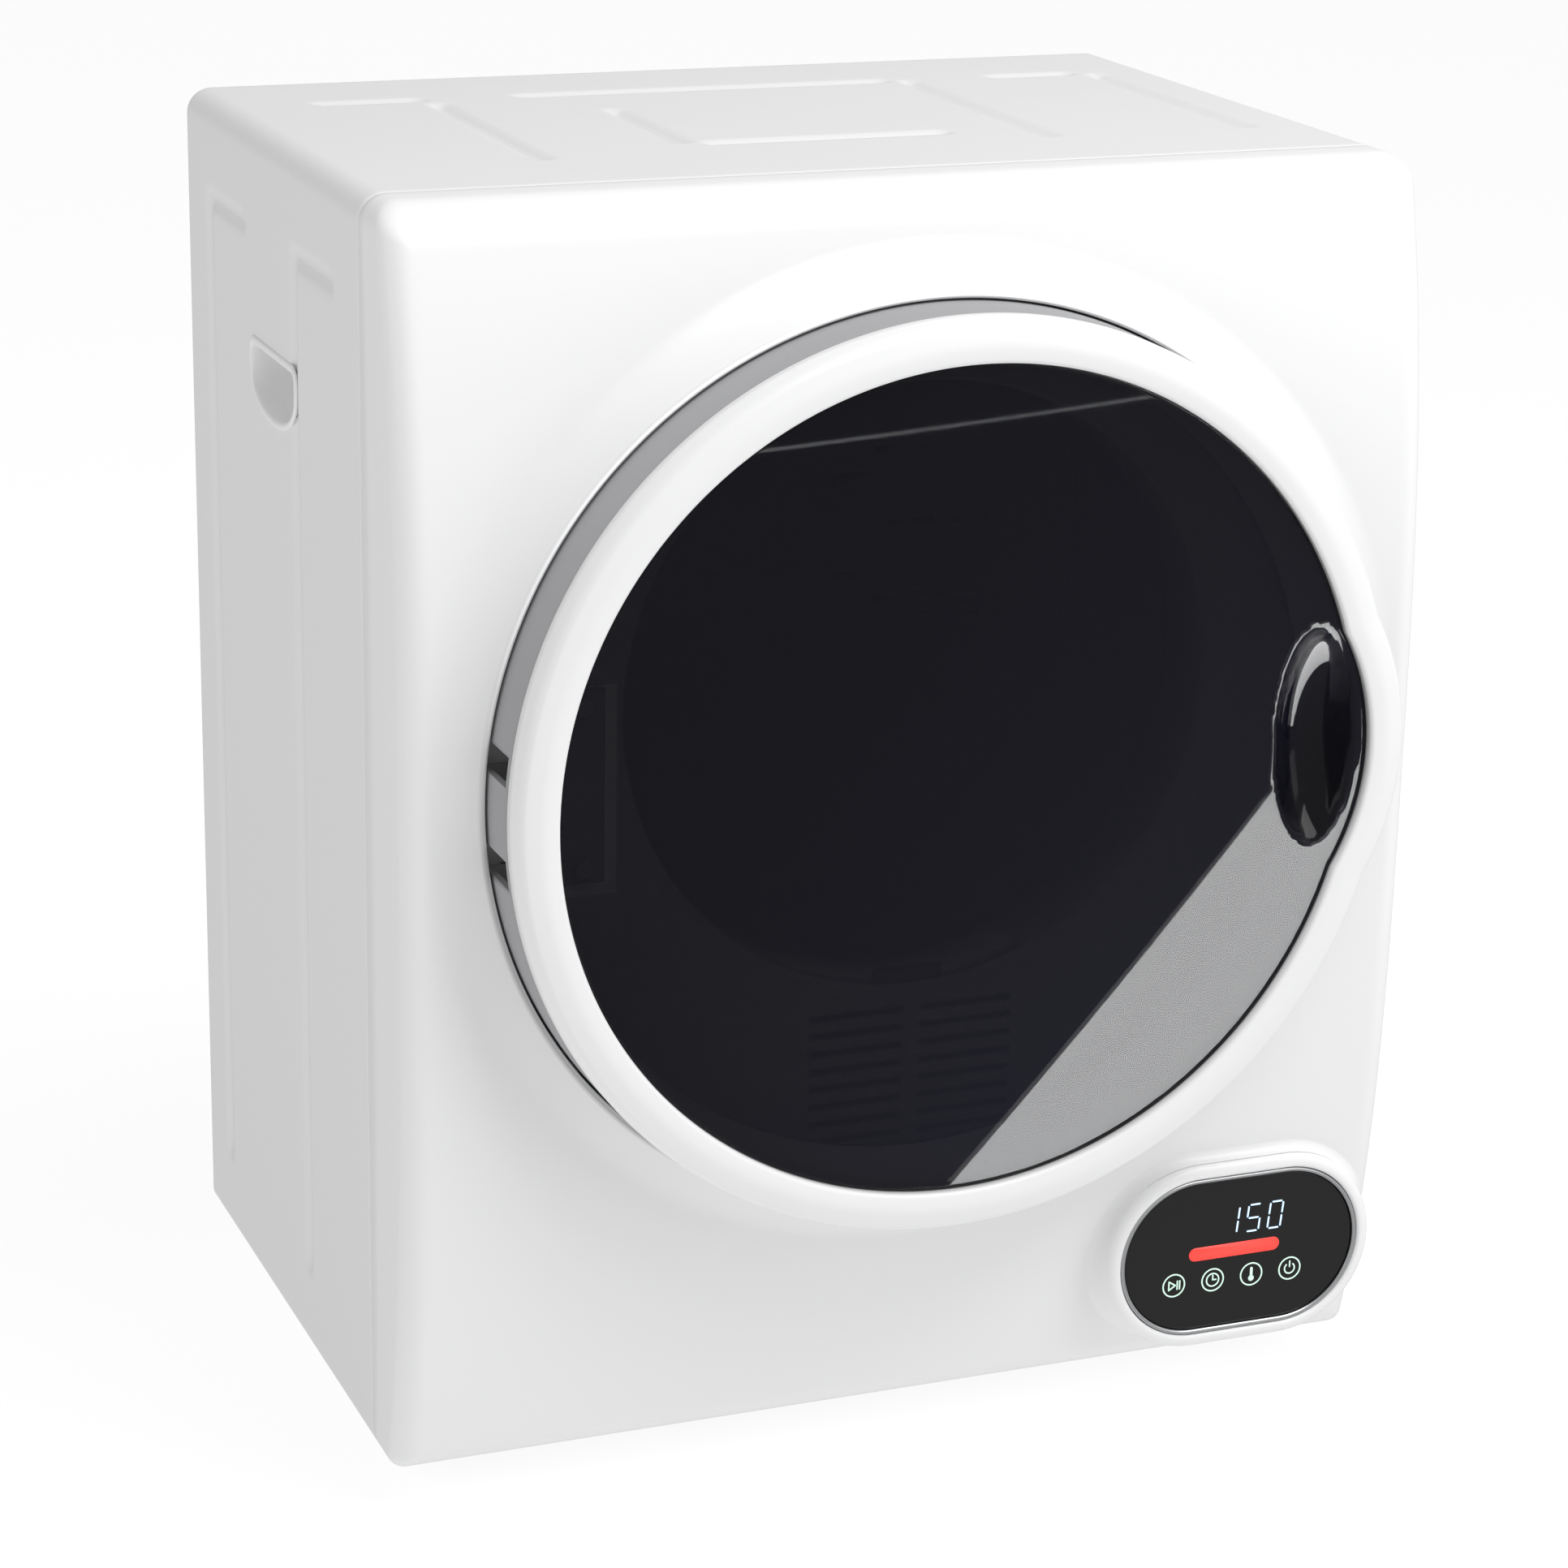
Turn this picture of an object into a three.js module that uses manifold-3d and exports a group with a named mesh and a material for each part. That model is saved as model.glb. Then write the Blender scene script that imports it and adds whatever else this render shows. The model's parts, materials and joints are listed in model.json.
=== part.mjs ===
// Compact front-loading clothes dryer, vented, with a round smoked door.
// Millimetres, +Z up. The front faces -Y. The origin is on the floor, under the
// middle of the whole machine. "From the back" distances grow towards the front.

import * as THREE from 'three';
import { mergeVertices } from 'three/addons/utils/BufferGeometryUtils.js';
import Module from 'manifold-3d';

const wasm = await Module();
wasm.setup();

// ---------------------------------------------------------------------------
// Driving dimensions
// ---------------------------------------------------------------------------

// Whole machine
const WIDTH = 490;
const DEPTH = 405;
const HEIGHT = 600;
const FOOT_HEIGHT = 20;
const FOOT = { radius: 16, toe: 14, x: 185, back: 50, front: 255 };
const CLEARANCE = 0.3;

// Sheet-steel cabinet
const SHEET = 1.2;
const HANDLE_RIM = 1;
const FRONT_DEPTH = 107;
const TOP_CORNER = 12;
const BOTTOM_CORNER = 8;
const BOTTOM_LIP = 25;
const GROOVE_WIDTH = 12;
const GROOVE_DEPTH = 0.6;
const BACK_INSET = 6;
const PAN_RIM = 10;
const LOUVRES = { rows: 8, pitch: 14, slot: 5, half: 55 };

// Front moulding
const MOULDING = 3;
const PANEL_EDGE = 33;
const PANEL_BULGE = 28;
const PANEL_TOP_ROUND = 24;
const PANEL_BOTTOM_ROUND = 18;
const EDGE_ROUND = 12;
const COLLAR_HEIGHT = 30;
const COLLAR_WIDTH = 24;
const COLLAR_CREST = 3.5;

// Door
const WINDOW_RADIUS = 189;
const DOOR_RING = 19;
const DOOR_GAP = 1;
const DOOR_HEIGHT = 345;
const DOOR_THICKNESS = 55;
const DOOR_BODY = 38;
const WINDOW_THICKNESS = 3;
const LOBE_REACH = 7;
const LOBE_HALF_HEIGHT = 62;
const SCOOP = { across: 21, tall: 50, deep: 24, wall: 2.5, fromEdge: 19, up: 8 };
const GASKET = { inner: 193, outer: 200, thick: 4.2 };

// Door hinge, latch and switch
const PIVOT_INSET = 9;
const PIVOT_FROM_FRONT = 25;
const HINGE_PIN_RADIUS = 2.5;
const HINGE_ARM = { low: 17, high: 29, thick: 5 };
const HINGE_PLATE = { near: 30, far: 58, half: 44, thick: 3 };
const LATCH = { width: 5, half: 10, reach: 18, play: 2.5 };
const SWITCH = { angle: 25, radius: 2.5, reach: 12 };

// Recess behind the door
const RECESS = 61;
const MOUTH_RADIUS = 140;
const MOUTH_TUBE = 38;
const VENT = { rows: 9, pitch: 8.6, slot: 3.6, width: 46, middle: 8, below: 12 };

// Drum
const DRUM_HEIGHT = 374;
const DRUM_RADIUS = 205;
const DRUM_SHEET = 1.2;
const DRUM_BACK = 62;
const DRUM_LIP = { gap: 9, length: 9 };
const DRUM_SHOULDER = 6;
const BAFFLES = 3;
const BAFFLE = { height: 34, foot: 46, crest: 14, inset: 26 };
const SHAFT_RADIUS = 7.5;
const HUB_RADIUS = 45;
const BUSH_WALL = 7;
const CHANNEL = { back: 20, half: 34, deep: 14, wall: 1.6, hubFront: 44 };

// Drive
const MOTOR = { x: 118, z: 97, radius: 46, back: 105, length: 80 };
const MOTOR_SHAFT_RADIUS = 5;
const CAPACITOR = { x: -200, radius: 16, back: 200, length: 62 };
const PULLEY_RADIUS = 11;
const PULLEY_FLANGE = 3;
const BELT = { width: 8, thick: 2, back: 196 };
const IDLER_RADIUS = 15;
const IDLER_PLACE = 0.66;
const IDLER_POST = { x: 64, z: 44, width: 20 };

// Air path
const DUCT_DEPTH = 20.5;
const DUCT_WALL = 2;
const FILTER = { half: 54, low: 146, high: 232, thick: 5.5, border: 5 };
const BLOWER = { radius: 64, length: 64, reach: 84, wall: 2.5, wheel: 50, vanes: 14, inlet: 36 };
const EXHAUST = { x: -110, z: 86, outer: 50, tube: 30, wall: 1.5, flange: 8 };
const HEATER = { x: 115, z: 365, half: 68, tall: 65, back: 14, length: 40, wall: 1.5, fins: 9 };

// Controls
const POD = { fromSide: 78, z: 84, length: 127, height: 80, rim: 7, front: 362 };
const POD_GLASS = 3;
const TRIM_RING = 2;

// Carry handles in the sides
const CUP = { length: 76, height: 30, straight: 11, top: 501, fromBack: 155, deep: 24, wall: 2, rim: 3 };

// Cord entry
const GLAND = { x: 180, z: 60, radius: 8, bore: 4, flange: 12 };

// Facets on one full turn
const WIDE_STEPS = 60;
const DRUM_STEPS = 48;
const NARROW_STEPS = 18;

// ---------------------------------------------------------------------------
// Places worked out from the driving dimensions
// ---------------------------------------------------------------------------

const cabinetHalf = WIDTH / 2 - HANDLE_RIM;
const cabinetDepth = DEPTH - FRONT_DEPTH;
const cabinetMiddle = (HEIGHT + FOOT_HEIGHT) / 2;
const cabinetTall = HEIGHT - FOOT_HEIGHT;
const floorLevel = FOOT_HEIGHT + 2 * SHEET + CLEARANCE;

const doorRadius = WINDOW_RADIUS + DOOR_RING;
const collarRadius = doorRadius + DOOR_GAP;
const doorBack = DEPTH - DOOR_THICKNESS;
const doorParting = doorBack + DOOR_BODY;
const windowFront = DEPTH - 5;
const recessFront = DEPTH - RECESS;
const recessBack = recessFront - MOULDING;
const panelCrest = cabinetDepth + PANEL_EDGE + PANEL_BULGE + 0.5;
const collarCrest = panelCrest + 4.5;

const pivotX = -(doorRadius - PIVOT_INSET);
const pivotFromBack = DEPTH - PIVOT_FROM_FRONT;

const drumFront = cabinetDepth + 5;
const lipRadius = MOUTH_RADIUS + DRUM_LIP.gap;
const lipFront = drumFront + DRUM_LIP.length;
const sleeveBack = recessFront - MOUTH_TUBE;

const ductBack = drumFront + 6;
const ductFront = ductBack + DUCT_DEPTH;
const filterFront = recessBack - 1;
const filterBack = filterFront - FILTER.thick;
const blowerFront = ductBack - CLEARANCE;
const blowerBack = blowerFront - BLOWER.length;
const podX = WIDTH / 2 - POD.fromSide;
const podLedge = POD.front - 6;

const motorFront = MOTOR.back + MOTOR.length;
const beltFront = BELT.back + BELT.width;

// ---------------------------------------------------------------------------
// Materials
// ---------------------------------------------------------------------------

function finish(color, roughness, metalness) {
  return new THREE.MeshStandardMaterial({ color, roughness, metalness });
}

const whiteSteel = finish(0xe9e9ea, 0.4, 0.1);
const whitePlastic = finish(0xf2f2f3, 0.35, 0);
const greyPlastic = finish(0x8d8f92, 0.55, 0);
const blackPlastic = finish(0x1b1b1e, 0.5, 0);
const smokedPlastic = finish(0x1c1c22, 0.08, 0);
const clearPlastic = finish(0xc9cdd4, 0.08, 0);
const blackGlass = finish(0x141518, 0.08, 0);
const steel = finish(0xb9bbbe, 0.32, 1);
const zincSteel = finish(0xa7abaf, 0.45, 1);
const aluminium = finish(0xc6c8ca, 0.35, 1);
const blackRubber = finish(0x1a1a1b, 0.85, 0);
const greyFelt = finish(0x77736c, 0.95, 0);
const copperBrown = finish(0x8a5a33, 0.5, 0.4);
const greenBoard = finish(0x1f5b39, 0.6, 0);
const bronze = finish(0x9a7b4a, 0.45, 0.9);

// ---------------------------------------------------------------------------
// Solid helpers
// ---------------------------------------------------------------------------

const yAt = (fromBack) => DEPTH / 2 - fromBack;
const acrossWidth = new THREE.Matrix4().makeBasis(
  new THREE.Vector3(0, 1, 0),
  new THREE.Vector3(0, 0, 1),
  new THREE.Vector3(1, 0, 0),
);
const towardsFront = new THREE.Matrix4().makeBasis(
  new THREE.Vector3(1, 0, 0),
  new THREE.Vector3(0, 0, 1),
  new THREE.Vector3(0, -1, 0),
);

// Six times the signed volume of one triangle's tetrahedron with the origin.
function tripleProduct(xyz, a, b, c) {
  const [ax, ay, az] = xyz.subarray(3 * a, 3 * a + 3);
  const [bx, by, bz] = xyz.subarray(3 * b, 3 * b + 3);
  const [cx, cy, cz] = xyz.subarray(3 * c, 3 * c + 3);
  return ax * (by * cz - bz * cy) + ay * (bz * cx - bx * cz) + az * (bx * cy - by * cx);
}

// A geometry as a closed solid with its faces pointing out.
function solid(geometry) {
  const bare = geometry.clone();
  bare.deleteAttribute('normal');
  bare.deleteAttribute('uv');
  const merged = mergeVertices(bare, 1e-4);
  const xyz = new Float32Array(merged.attributes.position.array);
  const corners = merged.index.array;
  const kept = [];
  let volume = 0;
  for (let i = 0; i < corners.length; i += 3) {
    const [a, b, c] = [corners[i], corners[i + 1], corners[i + 2]];
    if (a === b || b === c || c === a) continue;
    kept.push(a, b, c);
    volume += tripleProduct(xyz, a, b, c);
  }
  if (volume < 0) kept.reverse();
  return new wasm.Manifold(new wasm.Mesh({
    numProp: 3,
    vertProperties: xyz,
    triVerts: new Uint32Array(kept),
  }));
}

// A solid as a named mesh of the scene.
function part(name, body, material) {
  const mesh = body.getMesh();
  const geometry = new THREE.BufferGeometry();
  geometry.setAttribute('position', new THREE.BufferAttribute(new Float32Array(mesh.vertProperties), 3));
  geometry.setIndex(new THREE.BufferAttribute(new Uint32Array(mesh.triVerts), 1));
  geometry.computeVertexNormals();
  const node = new THREE.Mesh(geometry, material);
  node.name = name;
  return node;
}

const joined = (bodies) => bodies.reduce((whole, body) => whole.add(body));
const without = (body, cuts) => cuts.reduce((rest, cut) => rest.subtract(cut), body);

// A box between two X limits, two distances from the back and two heights.
function box([left, right], [back, front], [low, high]) {
  const geometry = new THREE.BoxGeometry(right - left, front - back, high - low);
  geometry.translate((left + right) / 2, yAt((back + front) / 2), (low + high) / 2);
  return solid(geometry);
}

// A closed outline of [x, z] points, drawn out from back to front.
function prism(outline, back, front, hole) {
  const shape = new THREE.Shape(outline.map(([x, z]) => new THREE.Vector2(x, z)));
  if (hole) shape.holes.push(new THREE.Path(hole.map(([x, z]) => new THREE.Vector2(x, z))));
  const geometry = new THREE.ExtrudeGeometry(shape, { depth: front - back, bevelEnabled: false });
  geometry.applyMatrix4(towardsFront);
  geometry.translate(0, yAt(back), 0);
  return solid(geometry);
}

// A closed profile of [radius, from back] points, turned about a line along Y.
function turned(profile, x, z, steps = WIDE_STEPS) {
  const points = profile.map(([radius, fromBack]) => new THREE.Vector2(radius, yAt(fromBack)));
  points.push(points[0].clone());
  const geometry = new THREE.LatheGeometry(points, steps);
  geometry.translate(x, 0, z);
  return solid(geometry);
}

// A round bar or disc along Y.
const bar = (radius, back, front, x, z, steps = NARROW_STEPS) => turned(
  [[0, back], [radius, back], [radius, front], [0, front]], x, z, steps,
);

// A round tube or ring along Y.
const tube = (inner, outer, back, front, x, z, steps = NARROW_STEPS) => turned(
  [[inner, back], [outer, back], [outer, front], [inner, front]], x, z, steps,
);

// A round bar along Z.
function post(radius, low, high, x, fromBack, steps = NARROW_STEPS) {
  const geometry = new THREE.CylinderGeometry(radius, radius, high - low, steps);
  geometry.rotateX(Math.PI / 2);
  geometry.translate(x, yAt(fromBack), (low + high) / 2);
  return solid(geometry);
}

// Points round an arc, both ends included, as [x, z].
function arc(x, z, radius, from, to, steps) {
  const points = [];
  for (let i = 0; i <= steps; i += 1) {
    const angle = from + (to - from) * i / steps;
    points.push([x + radius * Math.cos(angle), z + radius * Math.sin(angle)]);
  }
  return points;
}

// The cabinet's section: a rectangle with round corners, drawn in by an inset.
function cabinetOutline(inset) {
  const half = cabinetHalf - inset;
  const top = Math.max(TOP_CORNER - inset, 1);
  const bottom = Math.max(BOTTOM_CORNER - inset, 1);
  const low = FOOT_HEIGHT + inset;
  const high = HEIGHT - inset;
  return [
    ...arc(half - bottom, low + bottom, bottom, -Math.PI / 2, 0, 5),
    ...arc(half - top, high - top, top, 0, Math.PI / 2, 6),
    ...arc(-half + top, high - top, top, Math.PI / 2, Math.PI, 6),
    ...arc(-half + bottom, low + bottom, bottom, Math.PI, 1.5 * Math.PI, 5),
  ];
}

// A stadium outline: two half circles and two straight sides.
function stadium(x, z, length, height, steps = 9) {
  const radius = height / 2;
  const straight = length / 2 - radius;
  return [
    ...arc(x + straight, z, radius, -Math.PI / 2, Math.PI / 2, steps),
    ...arc(x - straight, z, radius, Math.PI / 2, 1.5 * Math.PI, steps),
  ];
}

// ---------------------------------------------------------------------------
// Cabinet
// ---------------------------------------------------------------------------

// Pressed grooves in the top: [x from, x to, from back, to].
function topGrooves() {
  const back = 63;
  const long = 240;
  const half = GROOVE_WIDTH / 2;
  const across = (from, to, at) => [from, to, at - half, at + half];
  const along = (x, from, to) => [x - half, x + half, from, to];
  return [
    across(-200, -148, back), along(-142, back + 11, long),
    across(-101, 97, back), along(-67, back + 48, 214),
    across(-60, 64, 215), along(104, back, long),
    across(147, 198, back), along(205, back + 3, long),
  ].map(([left, right, from, to]) => box([left, right], [from, to], [HEIGHT - GROOVE_DEPTH, HEIGHT + 1]));
}

// Pressed grooves in one side: two tall lines, each with a short leg at its top.
function sideGrooves(side) {
  const face = cabinetHalf;
  const across = side < 0 ? [-face - 1, -face + GROOVE_DEPTH] : [face - GROOVE_DEPTH, face + 1];
  const low = FOOT_HEIGHT + 40;
  const high = HEIGHT - 40;
  return [35, 185].flatMap((fromBack) => [
    box(across, [fromBack, fromBack + GROOVE_WIDTH], [low, high]),
    box(across, [fromBack, fromBack + 75], [high - GROOVE_WIDTH, high]),
  ]);
}

// The D-shaped outline of a carry handle, [from back, z], grown by an offset.
function handleOutline(offset) {
  const half = CUP.length / 2 + offset;
  const top = CUP.top + offset;
  const round = CUP.height - CUP.straight + offset;
  const shoulder = CUP.top - CUP.straight;
  const points = [[CUP.fromBack + half, top], [CUP.fromBack - half, top]];
  for (let i = 0; i <= 14; i += 1) {
    const angle = Math.PI + Math.PI * i / 14;
    points.push([CUP.fromBack + half * Math.cos(angle), shoulder + round * Math.sin(angle)]);
  }
  return points;
}

// A handle outline drawn out along X between two limits.
function handlePrism(offset, left, right) {
  const shape = new THREE.Shape(handleOutline(offset).map(([d, z]) => new THREE.Vector2(yAt(d), z)));
  const geometry = new THREE.ExtrudeGeometry(shape, { depth: right - left, bevelEnabled: false });
  geometry.applyMatrix4(acrossWidth);
  geometry.translate(left, 0, 0);
  return solid(geometry);
}

function cabinetWrap() {
  const outer = prism(cabinetOutline(0), 0, cabinetDepth);
  const inner = prism(cabinetOutline(SHEET), -1, cabinetDepth + 1);
  const open = cabinetHalf - BOTTOM_LIP;
  const underside = box([-open, open], [-1, cabinetDepth + 1], [FOOT_HEIGHT - 1, FOOT_HEIGHT + SHEET + 1]);
  const handles = handlePrism(0, -WIDTH, WIDTH);
  const grooves = [...topGrooves(), ...sideGrooves(-1), ...sideGrooves(1)];
  return part('cabinet_wrap', without(outer, [inner, underside, handles, ...grooves]), whiteSteel);
}

function backPanel() {
  const front = BACK_INSET + SHEET;
  const plate = prism(cabinetOutline(SHEET + CLEARANCE), BACK_INSET, front);
  const slots = [];
  for (let row = 0; row < LOUVRES.rows; row += 1) {
    const z = HEATER.z + (row - (LOUVRES.rows - 1) / 2) * LOUVRES.pitch;
    slots.push(box(
      [HEATER.x - LOUVRES.half, HEATER.x + LOUVRES.half],
      [BACK_INSET - 1, front + 1],
      [z - LOUVRES.slot / 2, z + LOUVRES.slot / 2],
    ));
  }
  const outlet = bar(EXHAUST.outer + CLEARANCE, BACK_INSET - 1, front + 1, EXHAUST.x, EXHAUST.z, 40);
  const entry = bar(GLAND.radius + CLEARANCE, BACK_INSET - 1, front + 1, GLAND.x, GLAND.z);
  return part('back_panel', without(plate, [...slots, outlet, entry]), zincSteel);
}

function basePan() {
  const half = cabinetHalf - SHEET - CLEARANCE;
  const back = BACK_INSET + SHEET + 1;
  const front = cabinetDepth - 2;
  const low = FOOT_HEIGHT + SHEET + CLEARANCE;
  const corner = BOTTOM_CORNER - SHEET;
  const tray = prism([
    [half, low + PAN_RIM], [-half, low + PAN_RIM],
    ...arc(-half + corner, low + corner, corner, Math.PI, 1.5 * Math.PI, 5),
    ...arc(half - corner, low + corner, corner, -Math.PI / 2, 0, 5),
  ], back, front);
  const room = box(
    [-half + corner, half - corner],
    [back + SHEET, front - SHEET],
    [low + SHEET, low + PAN_RIM + 1],
  );
  return part('base_pan', tray.subtract(room), zincSteel);
}

// Rubber feet, set well in from the front so that the cabinet overhangs them.
function feet() {
  const places = [
    ['foot_back_left', -FOOT.x, FOOT.back], ['foot_back_right', FOOT.x, FOOT.back],
    ['foot_front_left', -FOOT.x, FOOT.front], ['foot_front_right', FOOT.x, FOOT.front],
  ];
  return places.map(([name, x, fromBack]) => {
    const lower = post(FOOT.toe, 0, 6, x, fromBack);
    const upper = post(FOOT.radius, 5, FOOT_HEIGHT + SHEET, x, fromBack);
    return part(name, lower.add(upper), blackRubber);
  });
}

// Carry handle cups: a rim outside the sheet and a closed cup inside it.
function handleCup(name, side) {
  const edge = side * WIDTH / 2;
  const skin = side * cabinetHalf;
  const floor = side * (cabinetHalf - CUP.deep);
  const between = (a, b) => [Math.min(a, b), Math.max(a, b)];
  const rim = handlePrism(CUP.rim, ...between(edge, skin + side * 0.05));
  const cup = handlePrism(-CLEARANCE, ...between(edge, floor));
  const room = handlePrism(-CLEARANCE - CUP.wall, ...between(edge + side, floor - side * -CUP.wall));
  return part(name, rim.add(cup).subtract(room), whitePlastic);
}

// ---------------------------------------------------------------------------
// Front moulding
// ---------------------------------------------------------------------------

// How far the front stands from the back at a height, for a moulding inset.
function panelFront(z, inset) {
  const rise = Math.abs(z - cabinetMiddle) / (cabinetTall / 2);
  return panelCrest - PANEL_BULGE * rise ** 3 - inset;
}

// Points on a round corner between two straight runs, [from back, z].
function roundCorner(start, corner, end, steps) {
  const points = [];
  for (let i = 0; i <= steps; i += 1) {
    const t = i / steps;
    const a = (1 - t) ** 2;
    const b = 2 * t * (1 - t);
    const c = t * t;
    points.push([
      a * start[0] + b * corner[0] + c * end[0],
      a * start[1] + b * corner[1] + c * end[1],
    ]);
  }
  return points;
}

// Side profile of the bulging front, from a little behind the seam.
function panelProfile(inset) {
  const low = FOOT_HEIGHT + inset;
  const high = HEIGHT - inset;
  const back = cabinetDepth - 40;
  const topRound = PANEL_TOP_ROUND - inset;
  const bottomRound = PANEL_BOTTOM_ROUND - inset / 2;
  const curve = [];
  const steps = 12;
  for (let i = 1; i < steps; i += 1) {
    const z = low + bottomRound + (high - topRound - low - bottomRound) * i / steps;
    curve.push([panelFront(z, inset), z]);
  }
  const bottomCorner = [panelFront(low, inset), low];
  const topCorner = [panelFront(high, inset), high];
  return [
    [back, low],
    ...roundCorner(
      [bottomCorner[0] - bottomRound, low], bottomCorner,
      [panelFront(low + bottomRound, inset), low + bottomRound], 3,
    ),
    ...curve,
    ...roundCorner(
      [panelFront(high - topRound, inset), high - topRound], topCorner,
      [topCorner[0] - topRound, high], 4,
    ),
    [back, high],
  ];
}

// The bulging block with rounded side edges, cut off flat at the seam.
function panelBlock(inset) {
  const edge = EDGE_ROUND - inset;
  const half = cabinetHalf - inset;
  const shape = new THREE.Shape(panelProfile(inset).map(([d, z]) => new THREE.Vector2(yAt(d), z)));
  const geometry = new THREE.ExtrudeGeometry(shape, {
    depth: 2 * (half - edge),
    bevelThickness: edge,
    bevelSize: edge,
    bevelOffset: -edge,
    bevelSegments: 3,
  });
  geometry.applyMatrix4(acrossWidth);
  geometry.translate(-half + edge, 0, 0);
  const behind = box([-WIDTH, WIDTH], [0, cabinetDepth + CLEARANCE - (inset > 0 ? 2 : 0)], [0, HEIGHT + 1]);
  return solid(geometry).subtract(behind);
}

// The collar's outer slope from its crest down to its foot, dropped by an amount.
function collarSlope(drop) {
  const steps = 4;
  return Array.from({ length: steps + 1 }, (_, i) => {
    const t = i / steps;
    const fall = COLLAR_HEIGHT * (1 - (1 - t) ** 2);
    return [collarRadius + COLLAR_CREST + COLLAR_WIDTH * t, collarCrest - drop - fall];
  });
}

// Raised collar round the door, ending in a narrow crest.
function collar() {
  const back = recessBack - MOULDING;
  const foot = collarRadius + COLLAR_CREST + COLLAR_WIDTH;
  return turned([
    [collarRadius, back], [collarRadius, collarCrest - 1.5], [collarRadius + 1.5, collarCrest],
    ...collarSlope(0), [foot, cabinetDepth + 4], [foot - 2, cabinetDepth + 4],
  ], 0, DOOR_HEIGHT);
}

// The hollow behind the collar, which leaves its wall one moulding thick.
function collarHollow() {
  const wall = collarRadius + MOULDING;
  const foot = collarRadius + COLLAR_CREST + COLLAR_WIDTH;
  return turned([
    [wall, 0], [foot + 1, 0], ...collarSlope(MOULDING + 1).reverse().slice(0, -1),
    [collarRadius + COLLAR_CREST + 2, collarCrest - MOULDING - 4], [wall, collarCrest - MOULDING - 5],
  ], 0, DOOR_HEIGHT);
}

// The boss that carries the control glass, with a rounded front edge.
function podBoss() {
  const round = 4;
  const back = cabinetDepth + PANEL_EDGE - 1;
  const length = POD.length + 2 * POD.rim;
  const height = POD.height + 2 * POD.rim;
  const outline = stadium(podX, POD.z, length, height);
  const shape = new THREE.Shape(outline.map(([x, z]) => new THREE.Vector2(x, z)));
  const geometry = new THREE.ExtrudeGeometry(shape, {
    depth: POD.front - back - 2 * round,
    bevelThickness: round,
    bevelSize: round,
    bevelOffset: -round,
    bevelSegments: 2,
  });
  geometry.applyMatrix4(towardsFront);
  geometry.translate(0, yAt(back + round), 0);
  return solid(geometry);
}

function frontPanel() {
  const skin = panelBlock(0);
  const hollow = panelBlock(MOULDING);
  const doorHole = bar(collarRadius, 0, DEPTH, 0, DOOR_HEIGHT, WIDE_STEPS);
  const shell = skin.subtract(hollow).add(collar()).subtract(collarHollow()).subtract(doorHole);
  const glassSeat = prism(stadium(podX, POD.z, POD.length, POD.height), podLedge, DEPTH);
  const wiring = prism(stadium(podX, POD.z, POD.length - 14, POD.height - 14), cabinetDepth, podLedge + 1);
  const underBoss = box(
    [podX - 60, podX + 60],
    [cabinetDepth, cabinetDepth + PANEL_EDGE - 1],
    [POD.z - 30, POD.z + 30],
  );
  const boss = podBoss();
  const whole = without(shell.add(boss), [glassSeat, wiring, underBoss]);
  return part('front_panel', whole, whitePlastic);
}

// ---------------------------------------------------------------------------
// Recess behind the door
// ---------------------------------------------------------------------------

const mouthLow = DRUM_HEIGHT - MOUTH_RADIUS;
const latchX = WINDOW_RADIUS + 0.5;
const switchX = (WINDOW_RADIUS + 0.5) * Math.cos(THREE.MathUtils.degToRad(SWITCH.angle));
const switchZ = DOOR_HEIGHT + (WINDOW_RADIUS + 0.5) * Math.sin(THREE.MathUtils.degToRad(SWITCH.angle));

// Two columns of air slots under the drum mouth.
function ventSlots() {
  const slots = [];
  for (let row = 0; row < VENT.rows; row += 1) {
    const z = mouthLow - VENT.below - row * VENT.pitch;
    for (const side of [-1, 1]) {
      const near = side * VENT.middle / 2;
      const far = side * (VENT.middle / 2 + VENT.width);
      slots.push(box(
        [Math.min(near, far), Math.max(near, far)],
        [recessBack - 1, recessFront + 1],
        [z - VENT.slot / 2, z + VENT.slot / 2],
      ));
    }
  }
  return slots;
}

function doorSurround() {
  const floor = bar(collarRadius - CLEARANCE, recessBack, recessFront, 0, DOOR_HEIGHT, WIDE_STEPS);
  const mouth = bar(MOUTH_RADIUS, recessBack - 1, recessFront + 1, 0, DRUM_HEIGHT, DRUM_STEPS);
  const latchSlot = box(
    [latchX - LATCH.width / 2 - LATCH.play, latchX + LATCH.width / 2 + LATCH.play],
    [recessBack - 1, recessFront + 1],
    [DOOR_HEIGHT - LATCH.half - 3, DOOR_HEIGHT + LATCH.half + 3],
  );
  const switchHole = bar(SWITCH.radius + CLEARANCE, recessBack - 1, recessFront + 1, switchX, switchZ);
  return part('door_surround', without(floor, [mouth, latchSlot, switchHole, ...ventSlots()]), whitePlastic);
}

// The sleeve behind the surround, which leads clothes into the drum. The lint
// filter slides up through a gate in its underside.
function drumMouthSleeve() {
  const outer = MOUTH_RADIUS + MOULDING;
  const sleeve = tube(MOUTH_RADIUS, outer, sleeveBack, recessBack - CLEARANCE, 0, DRUM_HEIGHT, DRUM_STEPS);
  const filterGate = box(
    [-FILTER.half - 2, FILTER.half + 2],
    [filterBack - 1, recessBack],
    [mouthLow - 8, mouthLow + 18],
  );
  return part('drum_mouth_sleeve', sleeve.subtract(filterGate), whitePlastic);
}

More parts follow.
